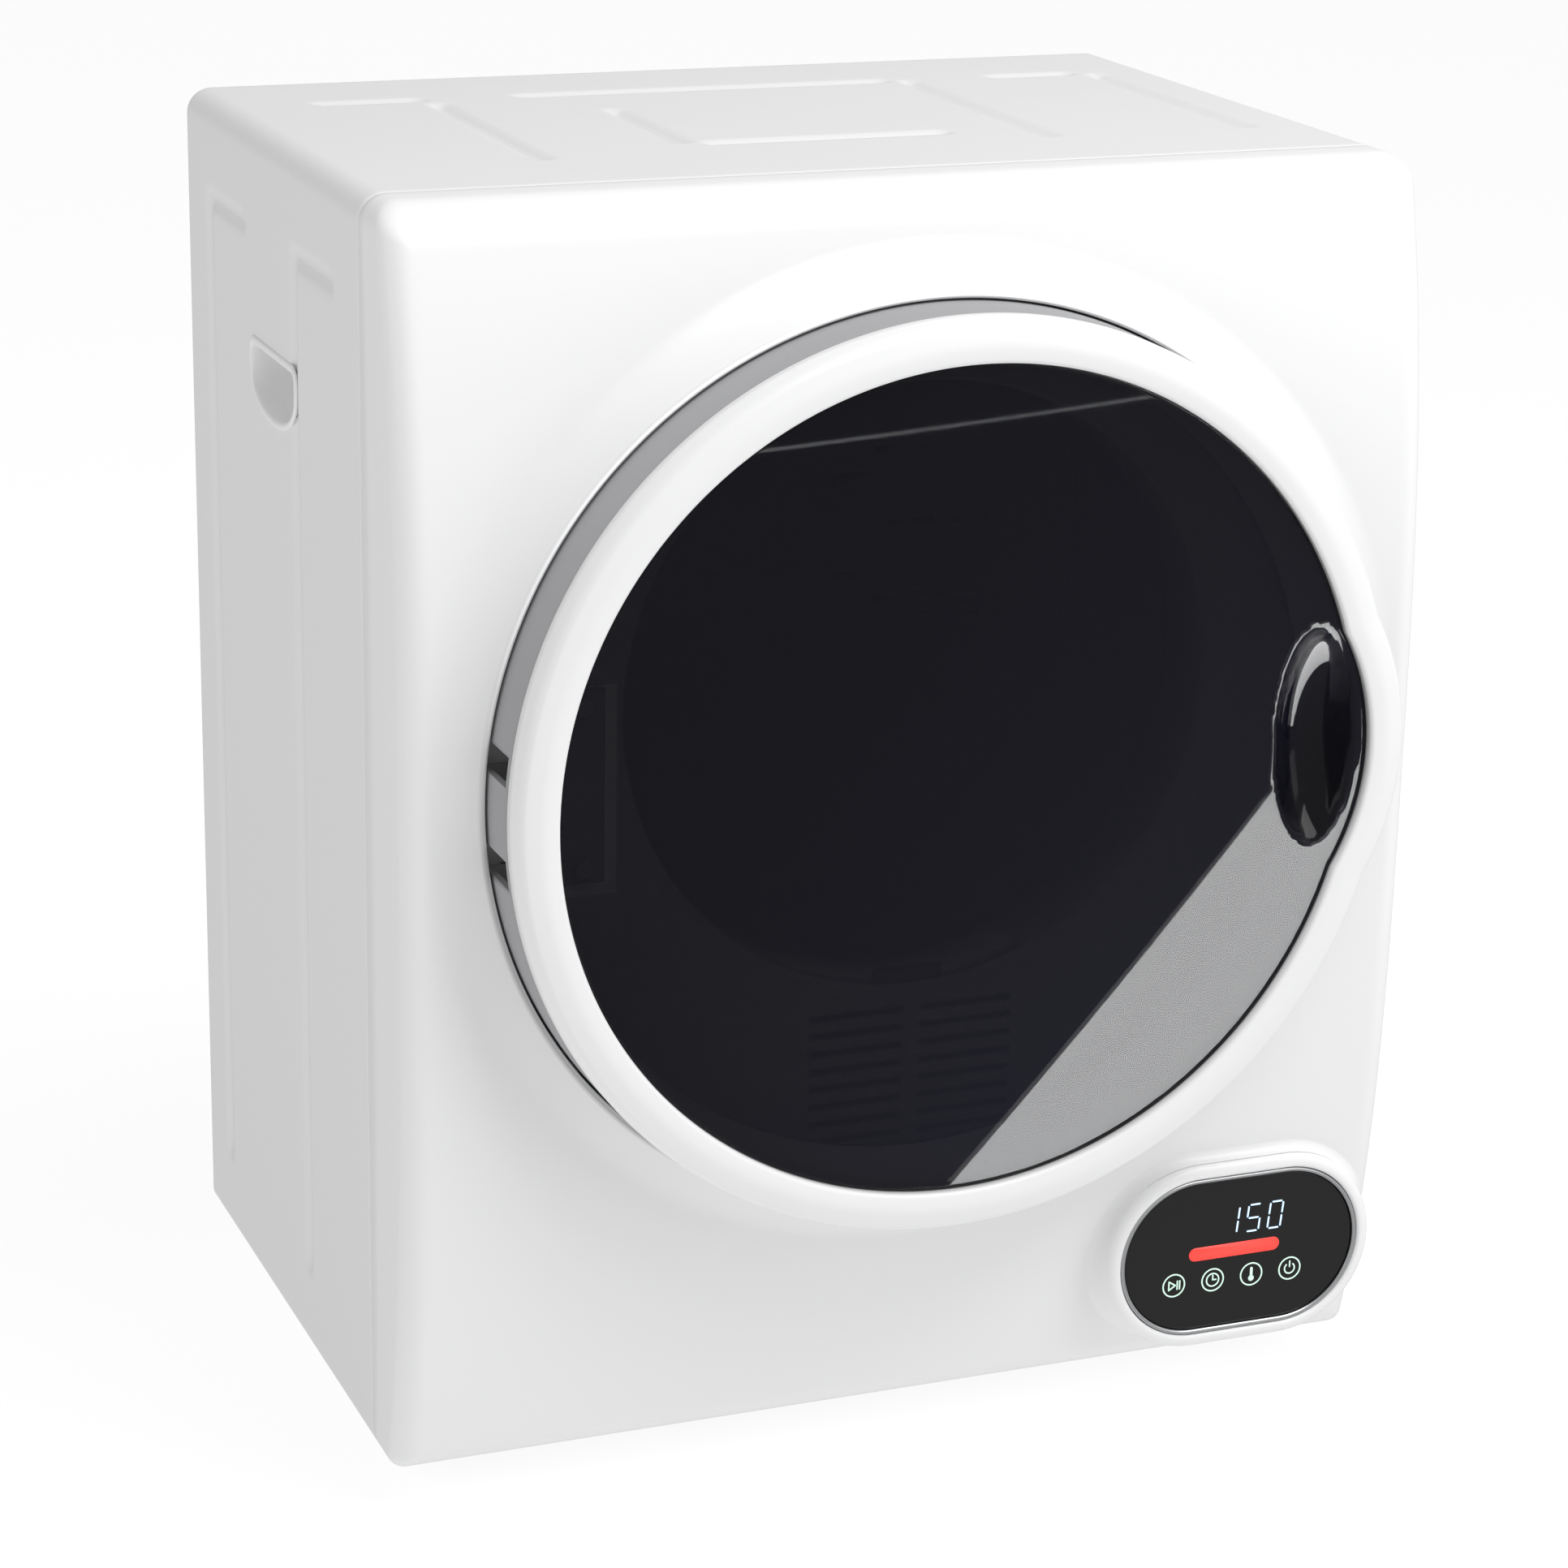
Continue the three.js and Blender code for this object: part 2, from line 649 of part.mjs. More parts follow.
// Felt ring between the sleeve and the drum's lip.
function drumFrontSeal() {
  const inner = MOUTH_RADIUS + MOULDING + CLEARANCE;
  const outer = lipRadius - CLEARANCE;
  const seal = tube(inner, outer, sleeveBack + 0.5, lipFront - 0.5, 0, DRUM_HEIGHT, DRUM_STEPS);
  return part('drum_front_seal', seal, greyFelt);
}

function lintFilter() {
  const { half, low, high, border } = FILTER;
  const frame = box([-half, half], [filterBack, filterFront], [low, high]);
  const window = box(
    [-half + border, half - border],
    [filterBack - 1, filterFront + 1],
    [low + border, high - 10],
  );
  const tab = box([-16, 16], [filterBack, filterFront], [high - 1, high + 8]);
  const inset = border + CLEARANCE;
  const screen = box(
    [-half + inset, half - inset],
    [filterBack + 2, filterBack + 3],
    [low + inset, high - 10 - CLEARANCE],
  );
  return [
    part('lint_filter_frame', frame.add(tab).subtract(window), greyPlastic),
    part('lint_filter_screen', screen, steel),
  ];
}

function latchReceiver() {
  const half = LATCH.width / 2 + LATCH.play;
  const tall = LATCH.half + 3;
  const back = recessBack - LATCH.reach;
  const shell = box(
    [latchX - half - 3, latchX + half + 3],
    [back, recessBack - CLEARANCE],
    [DOOR_HEIGHT - tall - 4, DOOR_HEIGHT + tall + 4],
  );
  const room = box(
    [latchX - half, latchX + half],
    [back + 2, recessBack + 1],
    [DOOR_HEIGHT - tall, DOOR_HEIGHT + tall],
  );
  return part('latch_receiver', shell.subtract(room), greyPlastic);
}

function doorSwitch() {
  const back = recessBack - 16;
  const body = box([switchX - 8, switchX + 8], [back, recessBack - CLEARANCE], [switchZ - 13, switchZ + 13]);
  const bore = bar(SWITCH.radius + CLEARANCE, back + 3, recessBack + 1, switchX, switchZ);
  const plunger = bar(SWITCH.radius, doorBack - 0.4 - SWITCH.reach, doorBack - 0.4, switchX, switchZ, 16);
  return [
    part('door_switch_body', body.subtract(bore), blackPlastic),
    part('door_switch_plunger', plunger, whitePlastic),
  ];
}

// ---------------------------------------------------------------------------
// Door and hinge
// ---------------------------------------------------------------------------

// Pushes the right-hand side of a turned door piece out into the grip lobe.
function withLobe(body) {
  const halfAngle = LOBE_HALF_HEIGHT / doorRadius;
  return body.warp((point) => {
    const x = point[0];
    const z = point[2] - DOOR_HEIGHT;
    const radius = Math.hypot(x, z);
    const turn = Math.atan2(z, x) / halfAngle;
    if (radius < WINDOW_RADIUS - 12 || Math.abs(turn) >= 1) return;
    const reach = 1 + LOBE_REACH * (1 - turn * turn) / radius;
    point[0] = x * reach;
    point[2] = DOOR_HEIGHT + z * reach;
  });
}

function doorFrontRing() {
  const w = WINDOW_RADIUS;
  const r = doorRadius;
  const ring = turned([
    [w, DEPTH - 9], [w, DEPTH - 4], [w + 2.5, DEPTH - 1], [w + 7, DEPTH], [r - 6.5, DEPTH - 1.5],
    [r - 2, DEPTH - 6.5], [r, DEPTH - 13], [r, doorParting + CLEARANCE],
    [r - 3, doorParting + CLEARANCE], [r - 3, DEPTH - 13.5], [r - 6, DEPTH - 7.5], [w + 7, DEPTH - 5],
    [w + 3, DEPTH - 9],
  ], 0, DOOR_HEIGHT);
  return part('door_front_ring', withLobe(ring), whitePlastic);
}

// An egg-shaped hollow for the fingers, in front of the window's plane or behind it.
function scoopBlob(shrink) {
  const geometry = new THREE.SphereGeometry(1, 18, 12);
  geometry.scale(SCOOP.across - shrink, SCOOP.deep - shrink, SCOOP.tall - shrink);
  geometry.translate(WINDOW_RADIUS - SCOOP.fromEdge, yAt(windowFront), DOOR_HEIGHT + SCOOP.up);
  return solid(geometry);
}

function doorWindow() {
  const edge = WINDOW_RADIUS - CLEARANCE;
  const disc = withLobe(bar(edge, windowFront - WINDOW_THICKNESS, windowFront, 0, DOOR_HEIGHT, WIDE_STEPS));
  const reach = WIDTH;
  const behind = box([0, reach], [0, windowFront - 1], [0, HEIGHT]);
  const bowl = scoopBlob(0).intersect(behind);
  return part('door_window', disc.add(bowl).subtract(scoopBlob(SCOOP.wall)), smokedPlastic);
}

// Arms of the hinge reach the pivot through slots in the door's left wall.
function hingeRoom(extra) {
  return [-1, 1].map((side) => {
    const near = DOOR_HEIGHT + side * (HINGE_ARM.low - extra);
    const far = DOOR_HEIGHT + side * (HINGE_ARM.high + extra);
    return box(
      [-doorRadius - 2, -WINDOW_RADIUS + 20],
      [doorBack - 10, pivotFromBack + HINGE_ARM.thick],
      [Math.min(near, far), Math.max(near, far)],
    );
  });
}

function doorBackShell() {
  const r = doorRadius;
  const inner = WINDOW_RADIUS - 3;
  const shell = turned([
    [inner, doorBack], [r - 1, doorBack], [r, doorBack + 1], [r, doorParting], [r - 3, doorParting],
    [r - 3, doorBack + 3], [inner, doorBack + 3],
  ], 0, DOOR_HEIGHT);
  return part('door_back_shell', without(shell, hingeRoom(1.5)), whitePlastic);
}

function doorInnerWindow() {
  const outer = WINDOW_RADIUS - 3 - CLEARANCE;
  const back = doorBack + 1;
  const pane = bar(outer, back, back + 2.5, 0, DOOR_HEIGHT, WIDE_STEPS);
  const hingePocket = box([-doorRadius, -doorRadius + HINGE_PLATE.far + 4], [0, DEPTH], [
    DOOR_HEIGHT - HINGE_PLATE.half - 4, DOOR_HEIGHT + HINGE_PLATE.half + 4,
  ]);
  return part('door_inner_window', pane.subtract(hingePocket), clearPlastic);
}

function doorGasket() {
  const front = doorBack - CLEARANCE;
  const ring = tube(GASKET.inner, GASKET.outer, front - GASKET.thick, front, 0, DOOR_HEIGHT, WIDE_STEPS);
  const reach = HINGE_ARM.high + 1.5;
  const hingeGap = box(
    [-doorRadius, -GASKET.inner + 25],
    [0, DEPTH],
    [DOOR_HEIGHT - reach, DOOR_HEIGHT + reach],
  );
  return part('door_gasket', ring.subtract(hingeGap), blackRubber);
}

function doorHingeBlock() {
  const half = HINGE_ARM.low - 1;
  const block = box(
    [pivotX - 4, pivotX + 9],
    [pivotFromBack - 4.5, DEPTH - 13.8],
    [DOOR_HEIGHT - half, DOOR_HEIGHT + half],
  );
  const bore = post(
    HINGE_PIN_RADIUS + CLEARANCE, DOOR_HEIGHT - half - 1, DOOR_HEIGHT + half + 1,
    pivotX, pivotFromBack, NARROW_STEPS,
  );
  return part('door_hinge_block', block.subtract(bore), zincSteel);
}

function latchHook() {
  const { width, half } = LATCH;
  const tip = recessBack - 12;
  const stem = box(
    [latchX - width / 2, latchX + width / 2],
    [tip, doorBack - CLEARANCE],
    [DOOR_HEIGHT - half + 3, DOOR_HEIGHT + half - 3],
  );
  const foot = box(
    [latchX - 2.8, latchX + 2.8],
    [doorBack - 3, doorBack - CLEARANCE],
    [DOOR_HEIGHT - half, DOOR_HEIGHT + half],
  );
  const barb = box(
    [latchX - width / 2, latchX + width / 2],
    [tip, tip + 4],
    [DOOR_HEIGHT - half + 3, DOOR_HEIGHT + half],
  );
  return part('latch_hook', joined([stem, foot, barb]), greyPlastic);
}

// Fixed half of the hinge: a plate on the recess floor and two arms to the pivot.
function hingeBracket() {
  const { near, far, half, thick } = HINGE_PLATE;
  const plateBack = recessFront + CLEARANCE;
  const left = -doorRadius + near;
  const right = -doorRadius + far;
  const plate = box([left, right], [plateBack, plateBack + thick], [DOOR_HEIGHT - half, DOOR_HEIGHT + half]);
  const elbow = [left + 4, plateBack + thick - 1];
  const along = new THREE.Vector2(pivotX - elbow[0], pivotFromBack - elbow[1]).normalize();
  const [sx, sd] = [-along.y * HINGE_ARM.thick / 2, along.x * HINGE_ARM.thick / 2];
  const arms = [-1, 1].map((side) => {
    const low = DOOR_HEIGHT + (side < 0 ? -HINGE_ARM.high : HINGE_ARM.low);
    const high = low + HINGE_ARM.high - HINGE_ARM.low;
    const corners = [
      [elbow[0] + sx, elbow[1] + sd], [pivotX + sx, pivotFromBack + sd],
      [pivotX - sx, pivotFromBack - sd], [elbow[0] - sx, elbow[1] - sd],
    ];
    const shape = new THREE.Shape(corners.map(([x, d]) => new THREE.Vector2(x, yAt(d))));
    const geometry = new THREE.ExtrudeGeometry(shape, { depth: high - low, bevelEnabled: false });
    geometry.translate(0, 0, low);
    const knuckle = post(4.5, low, high, pivotX, pivotFromBack, 20);
    return solid(geometry).add(knuckle);
  });
  const bore = post(
    HINGE_PIN_RADIUS + CLEARANCE, DOOR_HEIGHT - HINGE_ARM.high - 1, DOOR_HEIGHT + HINGE_ARM.high + 1,
    pivotX, pivotFromBack, 16,
  );
  return part('hinge_bracket', joined([plate, ...arms]).subtract(bore), zincSteel);
}

function hingePin() {
  const reach = HINGE_ARM.high + 2;
  const pin = post(HINGE_PIN_RADIUS, DOOR_HEIGHT - reach, DOOR_HEIGHT + reach, pivotX, pivotFromBack, 16);
  return part('hinge_pin', pin, steel);
}

function hingeScrews() {
  const x = -doorRadius + (HINGE_PLATE.near + HINGE_PLATE.far) / 2 + 4;
  const back = recessFront + 2 * CLEARANCE + HINGE_PLATE.thick;
  return [['hinge_screw_lower', -1], ['hinge_screw_upper', 1]].map(([name, side]) => (
    part(name, bar(4, back, back + 2, x, DOOR_HEIGHT + side * (HINGE_PLATE.half - 7), 16), steel)
  ));
}

// ---------------------------------------------------------------------------
// Drum
// ---------------------------------------------------------------------------

const drumSeam = drumFront - DRUM_SHOULDER;

function drumShell() {
  const inner = DRUM_RADIUS - DRUM_SHEET;
  const shell = tube(inner, DRUM_RADIUS, DRUM_BACK, drumSeam, 0, DRUM_HEIGHT, DRUM_STEPS);
  return part('drum_shell', shell, steel);
}

// The drum's front end: a rounded shoulder, a flat ring and a short lip.
function drumFrontEnd() {
  const r = DRUM_RADIUS;
  const t = DRUM_SHEET;
  const s = DRUM_SHOULDER;
  return part('drum_front_end', turned([
    [r, drumSeam + CLEARANCE], [r - s, drumFront], [lipRadius + t, drumFront], [lipRadius + t, lipFront],
    [lipRadius, lipFront], [lipRadius, drumFront - t], [r - s - t / 2, drumFront - t],
    [r - t, drumSeam + CLEARANCE],
  ], 0, DRUM_HEIGHT, DRUM_STEPS), steel);
}

// Back wall of the drum, dished, with three rings of air slots.
function drumBack() {
  const r = DRUM_RADIUS - DRUM_SHEET - CLEARANCE;
  const t = DRUM_SHEET;
  const disc = turned([
    [0, DRUM_BACK], [r, DRUM_BACK], [r, DRUM_BACK + 12], [r - t, DRUM_BACK + 12], [r - t, DRUM_BACK + t],
    [0, DRUM_BACK + t],
  ], 0, DRUM_HEIGHT, DRUM_STEPS);
  const slots = [];
  for (const [radius, count, length] of [[80, 10, 26], [115, 16, 26], [150, 20, 26]]) {
    for (let i = 0; i < count; i += 1) {
      const geometry = new THREE.BoxGeometry(5, 8, length);
      geometry.translate(0, yAt(DRUM_BACK), radius);
      geometry.rotateY(2 * Math.PI * i / count);
      geometry.translate(0, 0, DRUM_HEIGHT);
      slots.push(solid(geometry));
    }
  }
  return part('drum_back', without(disc, slots), steel);
}

// Lifting vanes along the inside of the drum.
function drumBaffles() {
  const outer = DRUM_RADIUS - DRUM_SHEET - CLEARANCE;
  const back = DRUM_BACK + BAFFLE.inset;
  const front = drumFront - BAFFLE.inset;
  const inside = bar(outer, back - 1, front + 1, 0, DRUM_HEIGHT, DRUM_STEPS);
  const { height, foot, crest } = BAFFLE;
  const section = [
    [-foot / 2, -outer - 5], [foot / 2, -outer - 5], [foot / 2, -outer + 7],
    [crest / 2, -outer + height - 4], ...arc(0, -outer + height - crest / 2 - 1, crest / 2, 0, Math.PI, 5),
    [-crest / 2, -outer + height - 4], [-foot / 2, -outer + 7],
  ];
  return Array.from({ length: BAFFLES }, (_, i) => {
    const shape = new THREE.Shape(section.map(([x, z]) => new THREE.Vector2(x, z)));
    const geometry = new THREE.ExtrudeGeometry(shape, { depth: front - back, bevelEnabled: false });
    geometry.applyMatrix4(towardsFront);
    geometry.translate(0, yAt(back), 0);
    geometry.rotateY(2 * Math.PI * i / BAFFLES);
    geometry.translate(0, 0, DRUM_HEIGHT);
    return part(`drum_baffle_${i + 1}`, solid(geometry).intersect(inside), whitePlastic);
  });
}

// Rear axle of the drum, with the plate that is riveted to the drum's back.
function drumShaft() {
  const plateFront = DRUM_BACK - CLEARANCE;
  return part('drum_shaft', turned([
    [0, 18], [SHAFT_RADIUS, 18], [SHAFT_RADIUS, plateFront - 8], [SHAFT_RADIUS + 7, plateFront - 4],
    [HUB_RADIUS, plateFront - 3], [HUB_RADIUS, plateFront], [0, plateFront],
  ], 0, DRUM_HEIGHT, NARROW_STEPS), zincSteel);
}

function rearBearing() {
  const inner = SHAFT_RADIUS + CLEARANCE;
  const bush = tube(inner, inner + BUSH_WALL, CHANNEL.back + 4, CHANNEL.hubFront, 0, DRUM_HEIGHT);
  return part('rear_bearing', bush, bronze);
}

// Upright channel that holds the rear bearing.
function rearBearingBracket() {
  const { back, half, deep, wall, hubFront } = CHANNEL;
  const low = floorLevel + 0.6;
  const high = HEIGHT - SHEET - CLEARANCE;
  const hold = SHAFT_RADIUS + CLEARANCE + BUSH_WALL + CLEARANCE;
  const channel = box([-half, half], [back, back + deep], [low, high]);
  const hollow = box([-half + wall, half - wall], [back + wall, back + deep + 1], [low - 1, high + 1]);
  const holder = bar(hold + 4, back, hubFront, 0, DRUM_HEIGHT);
  const bore = bar(hold, back + 3, hubFront + 1, 0, DRUM_HEIGHT);
  const shaftHole = bar(SHAFT_RADIUS + 1, 0, hubFront + 1, 0, DRUM_HEIGHT);
  const bracket = without(channel.subtract(hollow).add(holder), [bore, shaftHole]);
  return part('rear_bearing_bracket', bracket, zincSteel);
}

// ---------------------------------------------------------------------------
// Motor, belt and idler
// ---------------------------------------------------------------------------

function motorHousing() {
  const { x, z, radius, back } = MOTOR;
  const body = turned([
    [0, back - 8], [16, back - 8], [16, back], [radius - 4, back], [radius, back + 5],
    [radius, motorFront - 5], [radius - 4, motorFront], [16, motorFront], [16, motorFront + 1.5],
    [0, motorFront + 1.5],
  ], x, z, 36);
  const bore = bar(MOTOR_SHAFT_RADIUS + CLEARANCE, back - 9, motorFront + 3, x, z, 20);
  return part('motor_housing', body.subtract(bore), zincSteel);
}

function motorBracket() {
  const { x, z, radius, back } = MOTOR;
  const saddle = box([x - 38, x + 38], [back + 12, motorFront - 12], [floorLevel + 0.6, z - 12]);
  const seat = bar(radius + CLEARANCE, back, motorFront, x, z, 36);
  const hollow = box([x - 33, x + 33], [back + 18, motorFront - 18], [floorLevel + 4, z]);
  return part('motor_bracket', saddle.subtract(seat).subtract(hollow), zincSteel);
}

function motorShaft() {
  const front = blowerFront - 8;
  return part('motor_shaft', bar(MOTOR_SHAFT_RADIUS, MOTOR.back - 16, front, MOTOR.x, MOTOR.z, 20), steel);
}

function drivePulley() {
  const inner = MOTOR_SHAFT_RADIUS + CLEARANCE;
  const flange = PULLEY_RADIUS + PULLEY_FLANGE;
  return part('drive_pulley', turned([
    [inner, BELT.back - 3], [flange, BELT.back - 3],
    [flange, BELT.back - 1], [PULLEY_RADIUS, BELT.back - 0.5],
    [PULLEY_RADIUS, beltFront + 0.5], [flange, beltFront + 1],
    [flange, beltFront + 3], [inner, beltFront + 3],
  ], MOTOR.x, MOTOR.z, NARROW_STEPS), aluminium);
}

// The belt's two tangents leave both wheels at the same angles.
const beltRun = Math.hypot(MOTOR.x, MOTOR.z - DRUM_HEIGHT);
const beltLean = Math.atan2(MOTOR.z - DRUM_HEIGHT, MOTOR.x);
const beltSpread = Math.acos((DRUM_RADIUS - PULLEY_RADIUS) / beltRun);
const slackAngle = beltLean - beltSpread;
const tightAngle = beltLean + beltSpread;

// The belt's loop round both wheels, standing off them by a margin.
function beltLoop(margin) {
  return [
    ...arc(0, DRUM_HEIGHT, DRUM_RADIUS + margin, tightAngle, slackAngle + 2 * Math.PI, 44),
    ...arc(MOTOR.x, MOTOR.z, PULLEY_RADIUS + margin, slackAngle, tightAngle, 8),
  ];
}

function driveBelt() {
  const belt = prism(beltLoop(CLEARANCE + BELT.thick), BELT.back, beltFront, beltLoop(CLEARANCE));
  return part('drive_belt', belt, blackRubber);
}

// The idler wheel rides on the outside of the belt's slack run.
const slackRun = {
  from: [DRUM_RADIUS * Math.cos(slackAngle), DRUM_HEIGHT + DRUM_RADIUS * Math.sin(slackAngle)],
  to: [MOTOR.x + PULLEY_RADIUS * Math.cos(slackAngle), MOTOR.z + PULLEY_RADIUS * Math.sin(slackAngle)],
};
const idlerStand = IDLER_RADIUS + BELT.thick + 2 * CLEARANCE;
const { lerp } = THREE.MathUtils;
const idlerX = lerp(slackRun.from[0], slackRun.to[0], IDLER_PLACE) + idlerStand * Math.cos(slackAngle);
const idlerZ = lerp(slackRun.from[1], slackRun.to[1], IDLER_PLACE) + idlerStand * Math.sin(slackAngle);

function idler() {
  const armBack = motorFront + 2;
  const armFront = armBack + 4;
  const axle = 4;
  const lean = Math.atan2(idlerZ - IDLER_POST.z, idlerX - IDLER_POST.x);
  const outline = [
    ...arc(idlerX, idlerZ, 9, lean - Math.PI / 2, lean + Math.PI / 2, 8),
    ...arc(IDLER_POST.x, IDLER_POST.z, 9, lean + Math.PI / 2, lean + 1.5 * Math.PI, 8),
  ];
  const pivotHole = bar(axle + CLEARANCE, armBack - 1, armFront + 1, IDLER_POST.x, IDLER_POST.z, 20);
  const arm = prism(outline, armBack, armFront).subtract(pivotHole);
  const pin = bar(axle, armFront - 1, beltFront + 2, idlerX, idlerZ, 20);
  const wheel = tube(axle + CLEARANCE, IDLER_RADIUS, BELT.back - 1, beltFront + 1, idlerX, idlerZ);
  const half = IDLER_POST.width / 2;
  const upright = box(
    [IDLER_POST.x - half, IDLER_POST.x + half],
    [armBack - 6, armBack - CLEARANCE],
    [floorLevel + 0.6, IDLER_POST.z + half],
  );
  const pivot = bar(axle, armBack - 1, armFront + 3, IDLER_POST.x, IDLER_POST.z, 20);
  const springX = idlerX - 10;
  const springTop = idlerZ - 9;
  const spring = post(3.5, floorLevel + 0.6, springTop, springX, armBack + 2, 12);
  return [
    part('idler_arm', arm.add(pin), zincSteel),
    part('idler_pulley', wheel, blackPlastic),
    part('idler_post', upright.add(pivot), zincSteel),
    part('idler_spring', spring, steel),
  ];
}

function motorCapacitor() {
  const { x, radius, back, length } = CAPACITOR;
  return part('motor_capacitor', bar(radius, back, back + length, x, floorLevel + radius + 4), blackPlastic);
}

// ---------------------------------------------------------------------------
// Air path
// ---------------------------------------------------------------------------

function blowerHousing() {
  const { x, z } = MOTOR;
  const { radius, reach, wall, inlet } = BLOWER;
  const scroll = bar(radius, blowerBack, blowerFront, x, z, 40);
  const throat = box([x - reach, x], [blowerBack, blowerFront], [z - radius, z]);
  const room = bar(radius - wall, blowerBack + wall, blowerFront - wall, x, z, 40);
  const passage = box(
    [x - reach + wall, x],
    [blowerBack + wall, blowerFront - wall],
    [z - radius + wall, z - wall],
  );
  const eye = bar(inlet, blowerFront - wall - 1, blowerFront + 1, x, z);
  const shaftHole = bar(MOTOR_SHAFT_RADIUS + 3, blowerBack - 1, blowerBack + wall + 1, x, z, 20);
  const outlet = new THREE.CylinderGeometry(EXHAUST.tube - EXHAUST.wall, EXHAUST.tube - EXHAUST.wall, 8, 28);
  outlet.rotateZ(Math.PI / 2);
  outlet.translate(x - reach, yAt((blowerBack + blowerFront) / 2), z - radius / 2);
  const whole = without(scroll.add(throat), [room, passage, eye, shaftHole, solid(outlet)]);
  return part('blower_housing', whole, greyPlastic);
}

function blowerWheel() {
  const { x, z } = MOTOR;
  const back = blowerBack + BLOWER.wall + 6;
  const front = blowerFront - BLOWER.wall - 6;
  const inner = MOTOR_SHAFT_RADIUS + CLEARANCE;
  const rim = BLOWER.wheel;
  const disc = turned([
    [inner, back], [rim, back], [rim, back + 2], [14, back + 2], [10, back + 16], [inner, back + 16],
  ], x, z, 36);
  const hoop = tube(rim - 10, rim, front - 2, front, x, z, 36);
  const vanes = Array.from({ length: BLOWER.vanes }, (_, i) => {
    const geometry = new THREE.BoxGeometry(1.6, front - back - 2, 9);
    geometry.rotateY(0.45);
    geometry.translate(0, yAt((back + front) / 2), rim - 5.5);
    geometry.rotateY(2 * Math.PI * i / BLOWER.vanes);
    geometry.translate(x, 0, z);
    return solid(geometry);
  });
  return part('blower_wheel', joined([disc, hoop, ...vanes]), blackPlastic);
}

// Flat duct from the filter down and across to the blower's eye.
function frontDuct() {
  const half = FILTER.half + 3;
  const right = MOTOR.x + BLOWER.radius;
  const top = mouthLow - 14;
  const low = floorLevel + 30;
  const shoulder = MOTOR.z + 40;
  const outline = (inset) => [
    [-half + inset, low + inset], [right - inset, low + inset], [right - inset, shoulder - inset],
    [half - inset, shoulder - inset], [half - inset, top - inset], [-half + inset, top - inset],
  ];
  const shell = prism(outline(0), ductBack, ductFront);
  const room = prism(outline(DUCT_WALL), ductBack + DUCT_WALL, ductFront - DUCT_WALL);
  const neck = box(
    [-half + 2, half - 2],
    [ductFront - 1, filterBack - CLEARANCE],
    [FILTER.low + 2, top - 1],
  );
  const window = box(
    [-half + 7, half - 7],
    [ductFront - DUCT_WALL - 1, filterBack + 1],
    [FILTER.low + 6, top - 5],
  );
  const eye = bar(BLOWER.inlet, ductBack - 1, ductBack + DUCT_WALL + 1, MOTOR.x, MOTOR.z);
  return part('front_duct', without(shell.add(neck), [room, window, eye]), greyPlastic);
}

// Round duct from the blower, swept left and back to the outlet.
function exhaustDuct() {
  const d = (blowerBack + blowerFront) / 2;
  const startX = MOTOR.x - BLOWER.reach - CLEARANCE;
  const startZ = MOTOR.z - BLOWER.radius / 2;
  const end = 26;
  const route = new THREE.CurvePath();
  const at = (x, fromBack, z) => new THREE.Vector3(x, yAt(fromBack), z);
  const turnIn = at(startX - 40, d, startZ);
  const turnOut = at(EXHAUST.x, d - 90, EXHAUST.z);
  route.add(new THREE.LineCurve3(at(startX, d, startZ), turnIn));
  const pulls = [at(EXHAUST.x + 10, d, startZ), at(EXHAUST.x, d, EXHAUST.z)];
  route.add(new THREE.CubicBezierCurve3(turnIn, ...pulls, turnOut));
  route.add(new THREE.LineCurve3(turnOut, at(EXHAUST.x, end, EXHAUST.z)));
  const circle = (radius) => (
    arc(0, 0, radius, 0, 2 * Math.PI, 14).slice(0, -1).map(([x, y]) => new THREE.Vector2(x, y))
  );
  const section = new THREE.Shape(circle(EXHAUST.tube));
  section.holes.push(new THREE.Path(circle(EXHAUST.tube - EXHAUST.wall)));
  const geometry = new THREE.ExtrudeGeometry(section, { extrudePath: route, steps: 15 });
  return part('exhaust_duct', solid(geometry), aluminium);
}

// Outlet spigot through the back panel, wide enough for a standard hose.
function exhaustCollar() {
  const { x, z, outer, tube: pipe, flange } = EXHAUST;
  const wide = outer - EXHAUST.wall;
  const fit = pipe + 0.7;
  return part('exhaust_collar', turned([
    [wide, 0], [outer, 0], [outer, BACK_INSET - 1.8], [outer + flange, BACK_INSET - 1.8],
    [outer + flange, BACK_INSET - CLEARANCE], [outer, BACK_INSET - CLEARANCE], [outer, 11],
    [fit + 2, 23], [fit + 2, 34], [fit, 34], [fit, 22], [wide, 10],
  ], x, z, 40), whitePlastic);
}

function heater() {
  const { x, z, half, tall, back, length, wall, fins } = HEATER;
  const front = back + length;
  const shell = box([x - half, x + half], [back, front], [z - tall, z + tall]);
  const inset = wall + CLEARANCE;
  const filled = (gap, from, to) => (
    box([x - half + gap, x + half - gap], [from, to], [z - tall + gap, z + tall - gap])
  );
  const room = filled(wall, back - 1, front + 1);
  const block = filled(inset, back + 10, back + 28);
  const pitch = (2 * tall - 2 * inset - 8) / fins;
  const gaps = Array.from({ length: fins }, (_, i) => {
    const low = z - tall + inset + 4 + i * pitch + 2;
    return box([x - half + inset + 6, x + half - inset - 6], [back, front], [low, low + pitch - 4]);
  });
  const cutout = post(8, z + tall + CLEARANCE, z + tall + 8, x, back + 20, 20);
  return [
    part('heater_housing', shell.subtract(room), zincSteel),
    part('heater_element', without(block, gaps), aluminium),
    part('thermal_cutout', cutout, copperBrown),
  ];
}

